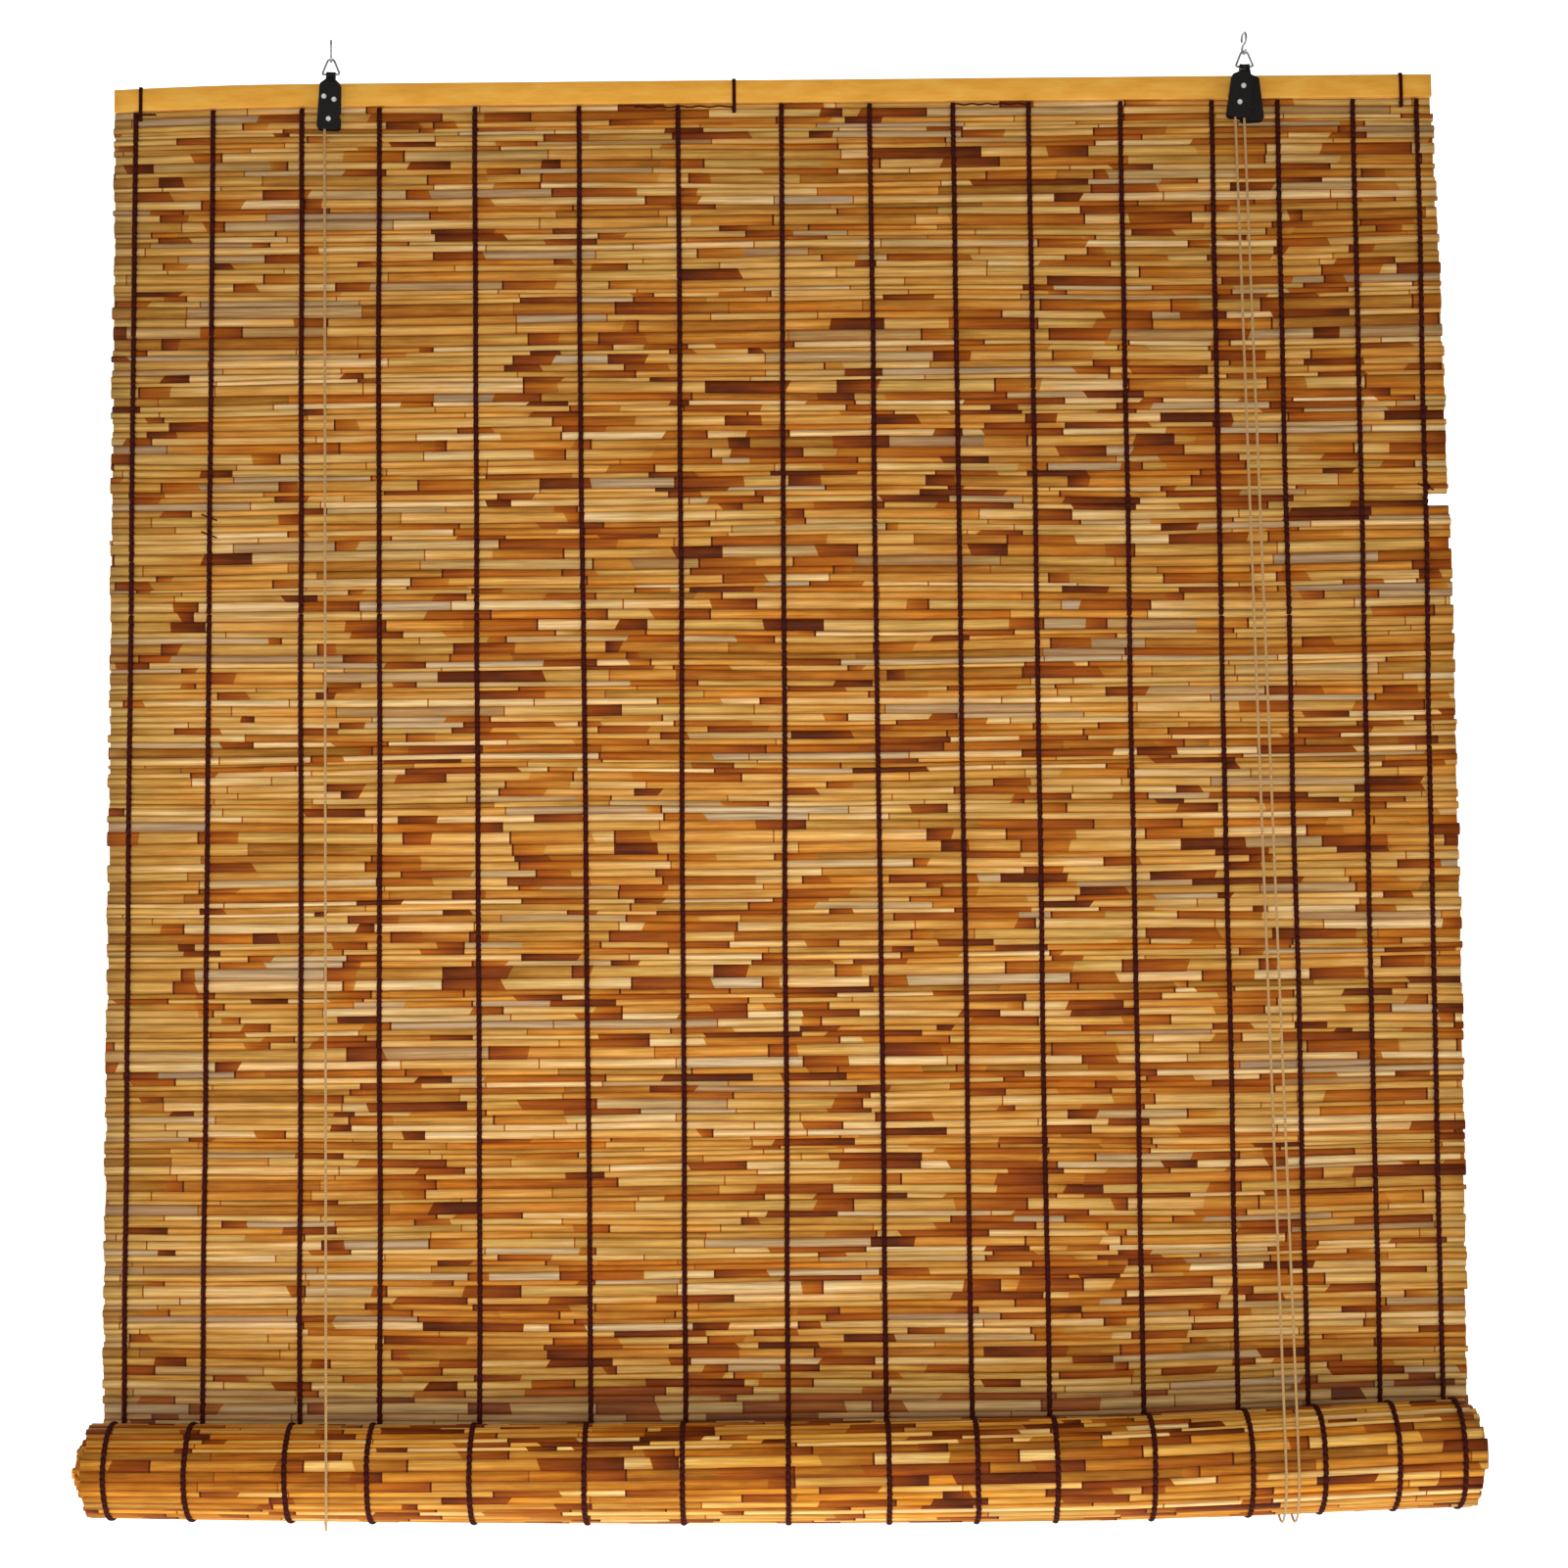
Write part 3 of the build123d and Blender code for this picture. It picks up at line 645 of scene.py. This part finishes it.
def make_roll_warps(seed, thread_material):
    rng = random.Random(seed)
    over = REED_HALF_DEPTH + STRAND_RADIUS * 0.8
    for k in range(len(WARP_XS)):
        angles = [0.0]
        while angles[-1] < 322.0:
            angles.append(angles[-1] + rng.uniform(7.0, 10.4))
        shell = Shell()

        def place(x, angle, out):
            half, rest = (0, angle) if angle < 180 else (1, angle - 180)
            y, dz, _ = roll_arc(half, rest, out)
            return (x, *roll_place(y, dz, x))

        def x_at(angle):
            return warp_x(k, 1.0) + 0.0008 * wave(k * 2.1, angle * 0.02) - 0.0012 * angle / 360

        for path in twined_paths(angles, x_at, place, over):
            shell.tube(flat_strand(path))
        name = f"twined_roll_warp_{k + 1:02d}"
        shell.build(name, thread_material, "roll", (f"roll_warp_thread_{k + 1:02d}",))


def make_rail(rail_material):
    """The bamboo slat: a rounded section along a slightly uneven line that droops at its left end."""
    xs = np.linspace(-HALF_WIDTH, HALF_WIDTH, 81)
    corner = 0.0012
    slat = bmesh.new()
    outline = []
    for qy, qz, start in ((1, -1, -90), (1, 1, 0), (-1, 1, 90), (-1, -1, 180)):
        for step in range(4):
            a = math.radians(start + 30 * step)
            outline.append(slat.verts.new((xs[0], qy * (RAIL_HALF_DEPTH - corner) + corner * math.cos(a),
                                           qz * (RAIL_HEIGHT / 2 - corner) + corner * math.sin(a))))
    first = end = slat.faces.new(outline)
    for x in xs[1:]:
        grown = bmesh.ops.extrude_face_region(slat, geom=[end])["geom"]
        # The operator leaves the face that it grew from, which would be a wall inside the slat
        if end is not first:
            slat.faces.remove(end)
        end = next(item for item in grown if isinstance(item, bmesh.types.BMFace))
        for vert in end.verts:
            vert.co.x = x
    for vert in slat.verts:
        grow = 1 + 0.012 * wave(vert.co.x * 9, 2.2)
        vert.co.z = vert.co.z * grow + RAIL_TOP - RAIL_HEIGHT / 2 - rail_droop(vert.co.x)
    bmesh.ops.recalc_face_normals(slat, faces=slat.faces)
    for face in slat.faces:
        face.smooth = abs(face.normal.x) < 0.5
    mesh = bpy.data.meshes.new("bamboo_rail")
    slat.to_mesh(mesh)
    slat.free()
    add_piece("bamboo_rail", mesh, rail_material, "headrail", ("top_rail",))


TIE_XS = {"left": -0.5765, "middle": -0.036, "right": 0.5715}
# Loose runs of the binding thread just under the rail: from x to x
THREAD_RUNS = ((-0.5765, -0.562), (-0.126, -0.036), (0.1638, 0.2328))


def make_ties(thread_material):
    for name, x in TIE_XS.items():
        shell = Shell()
        top = RAIL_TOP + 0.0009 - rail_droop(x)
        foot = MAT_TOP - REED_PITCH - rail_droop(x)
        half = (top - foot) / 2
        middle = (top + foot) / 2
        for turn in range(2):
            path = []
            for step in range(41):
                a = step / 40 * 2 * math.pi
                c, s = math.cos(a), math.sin(a)
                y = math.copysign(abs(c) ** 0.22, c) * (RAIL_HALF_DEPTH + 0.0008)
                z = math.copysign(abs(s) ** 0.22, s) * half
                path.append((x + (turn - 0.5) * 0.0017 + 0.0006 * math.sin(a * 0.5), y, middle + z))
            shell.tube(sweep(path, 0.0009, STRAND_SIDES, (1.0, 0.0, 0.0)))
        knot(shell, (x, -RAIL_HALF_DEPTH - 0.0004, foot + 0.003), 0.0016, 40 + len(name))
        for start, end in THREAD_RUNS:
            if (start <= x <= end) or (name == "right" and start > 0):
                path = [(start + (end - start) * s / 24,
                         -REED_HALF_DEPTH - 0.0011,
                         RAIL_BOTTOM - 0.0034 - rail_droop(start) + 0.0006 * math.sin(s * 1.3))
                        for s in range(25)]
                shell.tube(sweep(path, 0.0008, STRAND_SIDES))
        shell.build(f"binding_{name}", thread_material, "headrail", (f"thread_tie_{name}",))


def read_line(route, name):
    """Points along the smooth line that a route's control points give."""
    curve = bpy.data.curves.new(name, "CURVE")
    curve.dimensions = "3D"
    curve.resolution_u = 24
    spline = curve.splines.new("NURBS")
    spline.points.add(len(route) - 1)
    for point, place in zip(spline.points, route):
        point.co = (*place, 1.0)
    spline.order_u = 3
    spline.use_endpoint_u = True
    holder = bpy.data.objects.new(name, curve)
    bpy.context.scene.collection.objects.link(holder)
    bpy.context.view_layer.update()
    mesh = bpy.data.meshes.new_from_object(holder)
    points = [tuple(v.co) for v in mesh.vertices]
    bpy.data.objects.remove(holder)
    bpy.data.curves.remove(curve)
    bpy.data.meshes.remove(mesh)
    return points


def hold_corners(route, diameter):
    """The route with a point added on each long run, as far from its corner as the next corner is.

    They keep the line close to the corners under the roll, and six diameters off a sheave or an edge.
    """
    corners = [Vector(place) for place in route]
    held = [corners[0]]
    for i in range(len(corners) - 1):
        here, there = corners[i], corners[i + 1]
        run = (there - here).length
        after = max((here - corners[max(0, i - 1)]).length, 6 * diameter)
        if i > 0 and after < run / 2:
            held.append(here.lerp(there, after / run))
        before = max((corners[min(i + 2, len(corners) - 1)] - there).length, 6 * diameter)
        if i + 2 < len(corners) and before < run / 2:
            held.append(there.lerp(here, before / run))
        held.append(there)
    return [tuple(place) for place in held]


def even_steps(points, step):
    """The same line with points at even steps along it."""
    points = np.array(points)
    lengths = np.concatenate([[0], np.cumsum(np.linalg.norm(np.diff(points, axis=0), axis=1))])
    count = int(lengths[-1] / step)
    at = np.union1d(np.linspace(0, lengths[-1], count), lengths)
    at = at[np.concatenate([[True], np.diff(at) > 0.0002])]
    return np.stack([np.interp(at, lengths, points[:, k]) for k in range(3)], axis=1), at


def make_cord(name, route, diameter, cord_material):
    """A laid cotton cord along the smooth line of its route, with a stopper knot at each end.

    Its stopper knots ride on the rail; the cord itself rides on no body.
    """
    line = read_line(hold_corners(route, diameter), name + "_line")
    path, at = even_steps(line, CORD_STEP)
    shell = Shell()
    shell.tube(sweep(path, diameter / 2, CORD_SIDES), ways=at)
    piece = shell.build(name, cord_material, "", (name.replace("cotton", "lift"),))
    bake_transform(piece)
    ends = Shell()
    for place in (route[0], route[-1]):
        knot(ends, place, 0.0015, place[0])
    knots = ends.build(name + "_knots", cord_material, "headrail")
    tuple(route[0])


# ---- materials


# Stem colours of the hanging reeds, and of the roll's fresher, yellower face; then of straw-coloured stems
HUNG_STEMS = ((0.0, "#a2540c"), (0.22, "#c06f18"), (0.48, "#d08c36"), (0.74, "#dca656"), (1.0, "#e8bf84"))
ROLLED_STEMS = ((0.0, "#9c540a"), (0.22, "#c47212"), (0.48, "#dc9028"), (0.74, "#ecae46"), (1.0, "#f8cc78"))
STRAW_STEMS = ((0.0, "#96621c"), (0.25, "#b48236"), (0.5, "#caa052"), (0.75, "#d8b06c"), (1.0, "#e6c892"))
LEAF_SHEATHS = ((0.0, "#562204"), (0.25, "#823a06"), (0.55, "#a2540e"), (0.8, "#b46c1c"), (1.0, "#c48430"))
# Painted shade across a reed: what each place keeps of its colour, from its upper to its lower edge, darkest in
# the creases between reeds
REED_CREASE_SHADE = ((0.0, "#c0a080"), (0.15, "#e8dccc"), (0.36, "#ffffff"),
               (0.6, "#ffffff"), (0.85, "#e2d2c0"), (1.0, "#ac8662"))
# A Mix node's colour sockets: its two inputs and its output
FIRST, SECOND, MIXED = 6, 7, 2


def split_reed(name, stems):
    """Dried split reed: silky golden ochre with long fibres, greyer stems, dark red-brown leaf sheaths, and
    painted shade along each reed's upper and lower edges.
    """
    made, tree, shader = new_material(name)
    tint = add_node(tree, "Attribute", out="Color", attribute_name="reed_tint")
    sheath, tone, grey = add_node(tree, "SeparateColor", {"Color": tint}).node.outputs
    fibre = fleck(tree, (70, 1.8, 1.8), 3.0, 0.6)
    uneven = add_node(tree, "Math", {0: fleck(tree, (30, 6, 6), 3.0, 0.6), 1: 0.5}, operation="SUBTRACT")
    lit = add_node(tree, "Math", {0: uneven, 1: 0.5, 2: tone}, operation="MULTIPLY_ADD")
    golden_stem = add_node(tree, "ValToRGB", {"Fac": lit}, stops=stems)
    straw_stem = add_node(tree, "ValToRGB", {"Fac": lit}, stops=STRAW_STEMS)
    straw = add_node(tree, "Math", {0: grey, 1: 1.5}, operation="MULTIPLY", use_clamp=True)
    past_straw = add_node(tree, "Math", {0: grey, 1: STRAW_UP_TO}, operation="SUBTRACT", use_clamp=True)
    faded = add_node(tree, "Math", {0: past_straw, 1: 2.2}, operation="MULTIPLY")
    stem = add_node(tree, "Mix", {0: straw, FIRST: golden_stem, SECOND: straw_stem}, MIXED, data_type="RGBA")
    stem = add_node(tree, "Mix", {0: faded, FIRST: stem, SECOND: srgb("#b2977a")}, MIXED, data_type="RGBA")
    dark = add_node(tree, "Math", {0: uneven, 1: 0.4, 2: tone}, operation="MULTIPLY_ADD")
    husk = add_node(tree, "ValToRGB", {"Fac": dark}, stops=LEAF_SHEATHS)
    husk = add_node(tree, "Mix", {0: faded, FIRST: husk, SECOND: srgb("#805a40")}, MIXED, data_type="RGBA")
    color = add_node(tree, "Mix", {0: sheath, FIRST: stem, SECOND: husk}, MIXED, data_type="RGBA")
    streak = add_node(tree, "Math", {0: fibre, 1: 1.7, 2: 0.14}, operation="MULTIPLY_ADD")
    # Painted shade: each reed darkens towards its upper and lower edges, in the creases between reeds
    crease_shade = add_node(tree, "ValToRGB", {"Fac": tint.node.outputs["Alpha"]}, stops=REED_CREASE_SHADE)
    for shade in (add_node(tree, "CombineColor", {"Red": streak, "Green": streak, "Blue": streak}), crease_shade):
        color = add_node(tree, "Mix", {0: 1.0, FIRST: color, SECOND: shade}, MIXED,
                         data_type="RGBA", blend_type="MULTIPLY")
    fill_inputs(tree, shader, {
        "Base Color": color,
        "Specular IOR Level": 0.1,
        "Roughness": add_node(tree, "Math", {0: fibre, 1: 0.3, 2: 0.45}, operation="MULTIPLY_ADD"),
        "Normal": add_node(tree, "Bump", {"Height": fibre, "Strength": 0.35, "Distance": 0.0004}),
    })
    return made


def planed_bamboo(color):
    """Planed golden bamboo: fine straight fibres, faint yellow and brown mottling, a low satin sheen."""
    made, tree, shader = new_material("planed_bamboo")
    fibre = fleck(tree, (120, 1.2, 0.9), 3.0, 0.55)
    mottle = fleck(tree, (35, 20, 9), 4.0, 0.6)
    base = add_node(tree, "ValToRGB", {"Fac": mottle},
                    stops=((0.25, "#eca436"), (0.5, color), (0.75, "#ffc85c")))
    streak = add_node(tree, "Math", {0: fibre, 1: 0.35}, operation="MULTIPLY")
    fill_inputs(tree, shader, {
        "Base Color": add_node(tree, "Mix", {0: streak, FIRST: base, SECOND: srgb("#d08e30")}, MIXED,
                               data_type="RGBA"),
        "Specular IOR Level": 0.15,
        "Roughness": 0.6,
        "Normal": add_node(tree, "Bump", {"Height": fibre, "Strength": 0.2, "Distance": 0.0003}),
    })
    return made


def dark_twine(color):
    """Dyed cotton twine, dark maroon, matt, with short fuzzy fibres."""
    made, tree, shader = new_material("dark_dyed_twine")
    fibre = fleck(tree, (0.9, 0.9, 0.6), 2.0, 0.6)
    fill_inputs(tree, shader, {
        "Base Color": add_node(tree, "ValToRGB", {"Fac": fibre}, stops=((0.3, "#280705"), (0.7, color))),
        "Specular IOR Level": 0.15,
        "Roughness": 0.9,
        "Normal": add_node(tree, "Bump", {"Height": fibre, "Strength": 0.5, "Distance": 0.0003}),
    })
    return made


def cotton_cord(color):
    """Laid cotton cord: golden tan, three strands that wind round once in 7.5 mm, soft and matt, with painted
    shade in the grooves between strands and painted highlight on their ridges.
    """
    made, tree, shader = new_material("laid_cotton")
    way = add_node(tree, "Attribute", out="Vector", attribute_name="strand_way")
    along, around, _ = add_node(tree, "SeparateXYZ", {"Vector": way}).node.outputs
    turns = add_node(tree, "Math", {0: along, 1: 1000 / 7.5, 2: around}, operation="MULTIPLY_ADD")
    swing = add_node(tree, "Math", {0: turns, 1: 3 * 2 * math.pi}, operation="MULTIPLY")
    ridge = add_node(tree, "Math", {0: swing}, operation="SINE")
    lay = add_node(tree, "Math", {0: ridge, 1: 0.5, 2: 0.5}, operation="MULTIPLY_ADD")
    # Painted shade and highlight: darker in the grooves between the strands, lighter on their ridges
    strand = add_node(tree, "ValToRGB", {"Fac": lay}, stops=((0.0, "#a57438"), (0.45, color), (1.0, "#e0b878")))
    fibre = fleck(tree, (1.2, 1.2, 1.2), 2.0, 0.6)
    worn = add_node(tree, "Math", {0: fibre, 1: 0.25}, operation="MULTIPLY")
    fill_inputs(tree, shader, {
        "Base Color": add_node(tree, "Mix", {0: worn, FIRST: strand, SECOND: srgb("#a87a3c")}, MIXED,
                               data_type="RGBA"),
        "Specular IOR Level": 0.25,
        "Sheen Weight": 0.3,
        "Roughness": 0.85,
        "Normal": add_node(tree, "Bump", {"Height": lay, "Strength": 0.6, "Distance": 0.0004}),
    })
    return made


def zinc_wire():
    """Bright zinc-plated wire: cool grey metal with faint draw marks and dull patches."""
    made, tree, shader = new_material("zinc_plated_wire")
    cloud = fleck(tree, (4, 4, 4), 4.0, 0.6)
    fill_inputs(tree, shader, {
        "Base Color": add_node(tree, "ValToRGB", {"Fac": cloud},
                               stops=((0.3, "#8f9092"), (0.6, "#b4b5b5"), (0.85, "#cfcfcc"))),
        "Metallic": 1.0,
        "Roughness": add_node(tree, "Math", {0: cloud, 1: 0.3, 2: 0.16}, operation="MULTIPLY_ADD"),
        "Normal": add_node(tree, "Bump", {"Height": cloud, "Strength": 0.15, "Distance": 0.0002}),
    })
    return made


def black_enamel(color):
    """Black stoved enamel on thin sheet steel: satin, with faint orange peel and duller rubbed patches."""
    made, tree, shader = new_material("black_enamel")
    peel = fleck(tree, (1.2, 1.2, 1.2), 2.0, 0.5)
    rub = fleck(tree, (6, 6, 9), 4.0, 0.65)
    fill_inputs(tree, shader, {
        "Base Color": add_node(tree, "ValToRGB", {"Fac": rub},
                               stops=((0.35, "#0b0706"), (0.62, color), (0.8, "#2a201a"))),
        "Specular IOR Level": 0.25,
        "Roughness": add_node(tree, "Math", {0: rub, 1: 0.4, 2: 0.36}, operation="MULTIPLY_ADD"),
        "Normal": add_node(tree, "Bump", {"Height": peel, "Strength": 0.12, "Distance": 0.0002}),
    })
    return made


def bright_rivet():
    """Bright tin-plated rivets and screw heads, white in the light, with fine handling scratches."""
    made, tree, shader = new_material("bright_rivet")
    scratch = fleck(tree, (0.4, 3, 2), 3.0, 0.6)
    fill_inputs(tree, shader, {
        "Base Color": add_node(tree, "ValToRGB", {"Fac": scratch}, stops=((0.3, "#dedcd6"), (0.7, "#f4f3f0"))),
        "Metallic": 0.4,
        "Roughness": 0.4,
        "Normal": add_node(tree, "Bump", {"Height": scratch, "Strength": 0.1, "Distance": 0.0001}),
    })
    return made


def shaded_rivet():
    """The rear block's rivet, a dark copy of the bright rivet with painted shade, where it lies in the shade of
    the front block.
    """
    made, tree, shader = new_material("shaded_rivet")
    shade_mottle = fleck(tree, (2, 2, 2), 3.0, 0.6)
    fill_inputs(tree, shader, {
        "Base Color": add_node(tree, "ValToRGB", {"Fac": shade_mottle}, stops=((0.3, "#1d1a18"), (0.7, "#3a3531"))),
        "Metallic": 0.8,
        "Roughness": 0.55,
    })
    return made


def sheave_nylon():
    """Dark moulded nylon: even and faintly grained, with a soft shine."""
    made, tree, shader = new_material("dark_nylon")
    grain = fleck(tree, (2, 2, 2), 3.0, 0.6)
    fill_inputs(tree, shader, {
        "Base Color": add_node(tree, "ValToRGB", {"Fac": grain}, stops=((0.3, "#141210"), (0.7, "#292522"))),
        "Roughness": 0.45,
        "Normal": add_node(tree, "Bump", {"Height": grain, "Strength": 0.1, "Distance": 0.0002}),
    })
    return made


def pale_studio():
    """Matt off-white paper of the stage, lit through from behind so that it throws light up from below."""
    made, tree, shader = new_material("studio_paper")
    fill_inputs(tree, shader, {
        "Base Color": srgb("#f4f3f1"),
        "Roughness": 0.9,
        "Emission Color": (1.0, 1.0, 1.0, 1.0),
        "Emission Strength": 0.85,
    })
    return made


def dress_nodes(names, material):
    for name in names:
        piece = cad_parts[name]
        piece.data.materials.clear()
        piece.data.materials.append(material)


def make_metal(enamel_color):
    dress_nodes(("s_hook_left", "s_hook_right", "ring_left", "ring_right", "cord_staples"), zinc_wire())
    blocks = ("pulley_block_left", "pulley_block_right_front", "pulley_block_right_rear")
    dress_nodes(blocks, black_enamel(enamel_color))
    dress_nodes(("axle_left", "axle_right_front", "rail_screws"), bright_rivet())
    # Painted shade: the rear axle gets a dark copy of the rivet finish
    dress_nodes(("axle_right_rear",), shaded_rivet())
    dress_nodes(("sheave_left", "sheave_right_front", "sheave_right_rear"), sheave_nylon())


# ---- stage


SHEET_Z, SHEET_Y, SHEET_BEND = -2.1, 3.0, 0.8
LAMP_PLACE = (-0.1, -3.4, -0.8)
LAMP_WAY = (0.0, 3.4, -0.15)
LAMP_SIZE = 1.2
LAMP_SPREAD = 43
CAMERA_PLACE = (0.00463, -2.7, -0.90009)
CAMERA_PITCH, CAMERA_ROLL = 0.08098, -0.00879
# The camera's sensor in mm, and its focal length over the picture's width, both in pixels
SENSOR = 36.0
FOCAL_SHARE = 3088.58 / 1601


def make_sheet():
    """A pale sheet that curves from floor to wall and lights the blind from below."""
    profile = [(-5.0, SHEET_Z)]
    for step in range(13):
        a = math.radians(90 * step / 12)
        profile.append((SHEET_Y - SHEET_BEND + SHEET_BEND * math.sin(a),
                        SHEET_Z + SHEET_BEND - SHEET_BEND * math.cos(a)))
    profile.append((SHEET_Y, 5.0))
    paper = bmesh.new()
    line = [paper.verts.new((-8.0, y, z)) for y, z in profile]
    edges = [paper.edges.new(pair) for pair in zip(line, line[1:])]
    grown = bmesh.ops.extrude_edge_only(paper, edges=edges)["geom"]
    far = [item for item in grown if isinstance(item, bmesh.types.BMVert)]
    bmesh.ops.translate(paper, verts=far, vec=(16.0, 0.0, 0.0))
    for face in paper.faces:
        face.smooth = True
    paper.normal_update()
    if paper.faces[:][0].normal.z < 0:
        bmesh.ops.reverse_faces(paper, faces=paper.faces)
    mesh = bpy.data.meshes.new("studio_sheet")
    paper.to_mesh(mesh)
    paper.free()
    mesh.materials.append(pale_studio())
    sheet = bpy.data.objects.new("studio_sheet", mesh)
    bpy.context.scene.collection.objects.link(sheet)


def make_lights(key_power):
    """One soft lamp in front, and a white world that the camera sees brighter than the blind does."""
    light = bpy.data.lights.new("key", "AREA")
    light.size = LAMP_SIZE
    light.spread = math.radians(LAMP_SPREAD)
    light.energy = key_power
    lamp = bpy.data.objects.new("key", light)
    lamp.location = LAMP_PLACE
    lamp.rotation_euler = Vector(LAMP_WAY).to_track_quat("-Z", "Y").to_euler()
    bpy.context.scene.collection.objects.link(lamp)

    world = bpy.data.worlds.new("studio")
    world.use_nodes = True
    tree = world.node_tree
    seen = add_node(tree, "LightPath", out="Is Camera Ray")
    fill_inputs(tree, tree.nodes["Background"], {
        "Color": (1.0, 1.0, 1.0, 1.0),
        "Strength": add_node(tree, "Math", {0: seen, 1: 0.7, 2: 0.3}, operation="MULTIPLY_ADD"),
    })
    bpy.context.scene.world = world


def make_camera():
    forward = Vector((0.0, math.cos(CAMERA_PITCH), math.sin(CAMERA_PITCH)))
    right = Vector((1.0, 0.0, 0.0))
    up = right.cross(forward)
    turned_right = right * math.cos(CAMERA_ROLL) + up * math.sin(CAMERA_ROLL)
    turned_up = up * math.cos(CAMERA_ROLL) - right * math.sin(CAMERA_ROLL)
    data = bpy.data.cameras.new("camera")
    data.sensor_width = SENSOR
    data.lens = FOCAL_SHARE * SENSOR
    camera = bpy.data.objects.new("camera", data)
    matrix = Matrix((turned_right, turned_up, -forward)).transposed().to_4x4()
    matrix.translation = CAMERA_PLACE
    camera.matrix_world = matrix
    bpy.context.scene.collection.objects.link(camera)
    bpy.context.scene.camera = camera
    bpy.context.scene.view_settings.view_transform = "Standard"


# ---- add-on


class BlindSettings(bpy.types.PropertyGroup):
    seed: bpy.props.IntProperty(
        name="Seed",
        description="Chooses the reeds' heights, tones and leaf sheaths",
        default=7,
        min=0,
    )
    key_power: bpy.props.FloatProperty(
        name="Key lamp",
        description="Power of the main lamp",
        default=4.3,
        min=0.0,
        unit="POWER",
    )
    cord_diameter: bpy.props.FloatProperty(
        name="Cord thickness",
        description="Thickness of the lift cords",
        default=0.0022,
        min=0.0005,
        precision=4,
        unit="LENGTH",
    )
    cord_color: bpy.props.FloatVectorProperty(
        name="Cord",
        description="Main colour of the cotton lift cords",
        default=srgb("#cd9c58"),
        size=4,
        min=0.0,
        max=1.0,
        subtype="COLOR",
    )
    twine_color: bpy.props.FloatVectorProperty(
        name="Twine",
        description="Lighter colour of the dyed threads",
        default=srgb("#4c150c"),
        size=4,
        min=0.0,
        max=1.0,
        subtype="COLOR",
    )
    bamboo_color: bpy.props.FloatVectorProperty(
        name="Rail",
        description="Main colour of the bamboo rail",
        default=srgb("#fab444"),
        size=4,
        min=0.0,
        max=1.0,
        subtype="COLOR",
    )
    enamel_color: bpy.props.FloatVectorProperty(
        name="Enamel",
        description="Main colour of the pulley blocks",
        default=srgb("#150f0c"),
        size=4,
        min=0.0,
        max=1.0,
        subtype="COLOR",
    )


class BLIND_OT_reeds(bpy.types.Operator):
    """Build the hanging reeds and the roll"""

    bl_idname = "blind.reeds"
    bl_label = "Build Reeds"

    def execute(self, context):
        seed = context.scene.blind.seed
        for piece in make_hanging_mat(seed, split_reed("split_reed", HUNG_STEMS)):
            mat_squash(piece)
        make_roll(seed + 10, split_reed("fresh_split_reed", ROLLED_STEMS))
        return {"FINISHED"}


class BLIND_OT_threads(bpy.types.Operator):
    """Build the twined warps on the mat and roll, and the ties round the rail"""

    bl_idname = "blind.threads"
    bl_label = "Build Threads"

    def execute(self, context):
        seed = context.scene.blind.seed
        twine = dark_twine(context.scene.blind.twine_color)
        make_warps(seed, twine)
        make_roll_warps(seed + 30, twine)
        make_ties(twine)
        return {"FINISHED"}


class BLIND_OT_rail(bpy.types.Operator):
    """Build the bamboo rail"""

    bl_idname = "blind.rail"
    bl_label = "Build Rail"

    def execute(self, context):
        bamboo = planed_bamboo(context.scene.blind.bamboo_color)
        make_rail(bamboo)
        dress_nodes(("bottom_slat",), bamboo)
        return {"FINISHED"}


class BLIND_OT_cords(bpy.types.Operator):
    """Build both lift cords"""

    bl_idname = "blind.cords"
    bl_label = "Build Cords"

    def execute(self, context):
        cotton = cotton_cord(context.scene.blind.cord_color)
        # The property is single precision, so its last digits are taken off again
        diameter = round(context.scene.blind.cord_diameter, 6)
        make_cord("cotton_cord_left", LEFT_ROUTE, diameter, cotton)
        make_cord("cotton_cord_right", RIGHT_ROUTE, diameter, cotton)
        return {"FINISHED"}


class BLIND_OT_metal(bpy.types.Operator):
    """Finish the hooks, rings, pulley blocks, sheaves, axles and screws"""

    bl_idname = "blind.metal"
    bl_label = "Finish Metal"

    def execute(self, context):
        make_metal(context.scene.blind.enamel_color)
        return {"FINISHED"}


class BLIND_OT_stage(bpy.types.Operator):
    """Set the paper sheet, lamp, world and camera"""

    bl_idname = "blind.stage"
    bl_label = "Set Stage"

    def execute(self, context):
        make_sheet()
        make_lights(context.scene.blind.key_power)
        make_camera()
        return {"FINISHED"}


class BLIND_PT_panel(bpy.types.Panel):
    bl_idname = "BLIND_PT_panel"
    bl_label = "Reed Blind"
    bl_space_type = "VIEW_3D"
    bl_region_type = "UI"
    bl_category = "Blind"

    def draw(self, context):
        layout = self.layout
        for setting in BlindSettings.__annotations__:
            layout.prop(context.scene.blind, setting)
        for operator in OPERATORS:
            layout.operator(operator.bl_idname)


OPERATORS = (BLIND_OT_reeds, BLIND_OT_threads, BLIND_OT_rail, BLIND_OT_cords, BLIND_OT_metal, BLIND_OT_stage)
CLASSES = (BlindSettings, *OPERATORS, BLIND_PT_panel)


def register():
    for item in CLASSES:
        bpy.utils.register_class(item)
    bpy.types.Scene.blind = bpy.props.PointerProperty(type=BlindSettings)


def unregister():
    del bpy.types.Scene.blind
    for item in reversed(CLASSES):
        bpy.utils.unregister_class(item)


def main():
    register()
    bpy.ops.blind.reeds()
    bpy.ops.blind.threads()
    bpy.ops.blind.rail()
    bpy.ops.blind.cords()
    bpy.ops.blind.metal()
    bpy.ops.blind.stage()


if __name__ == "__main__":
    main()
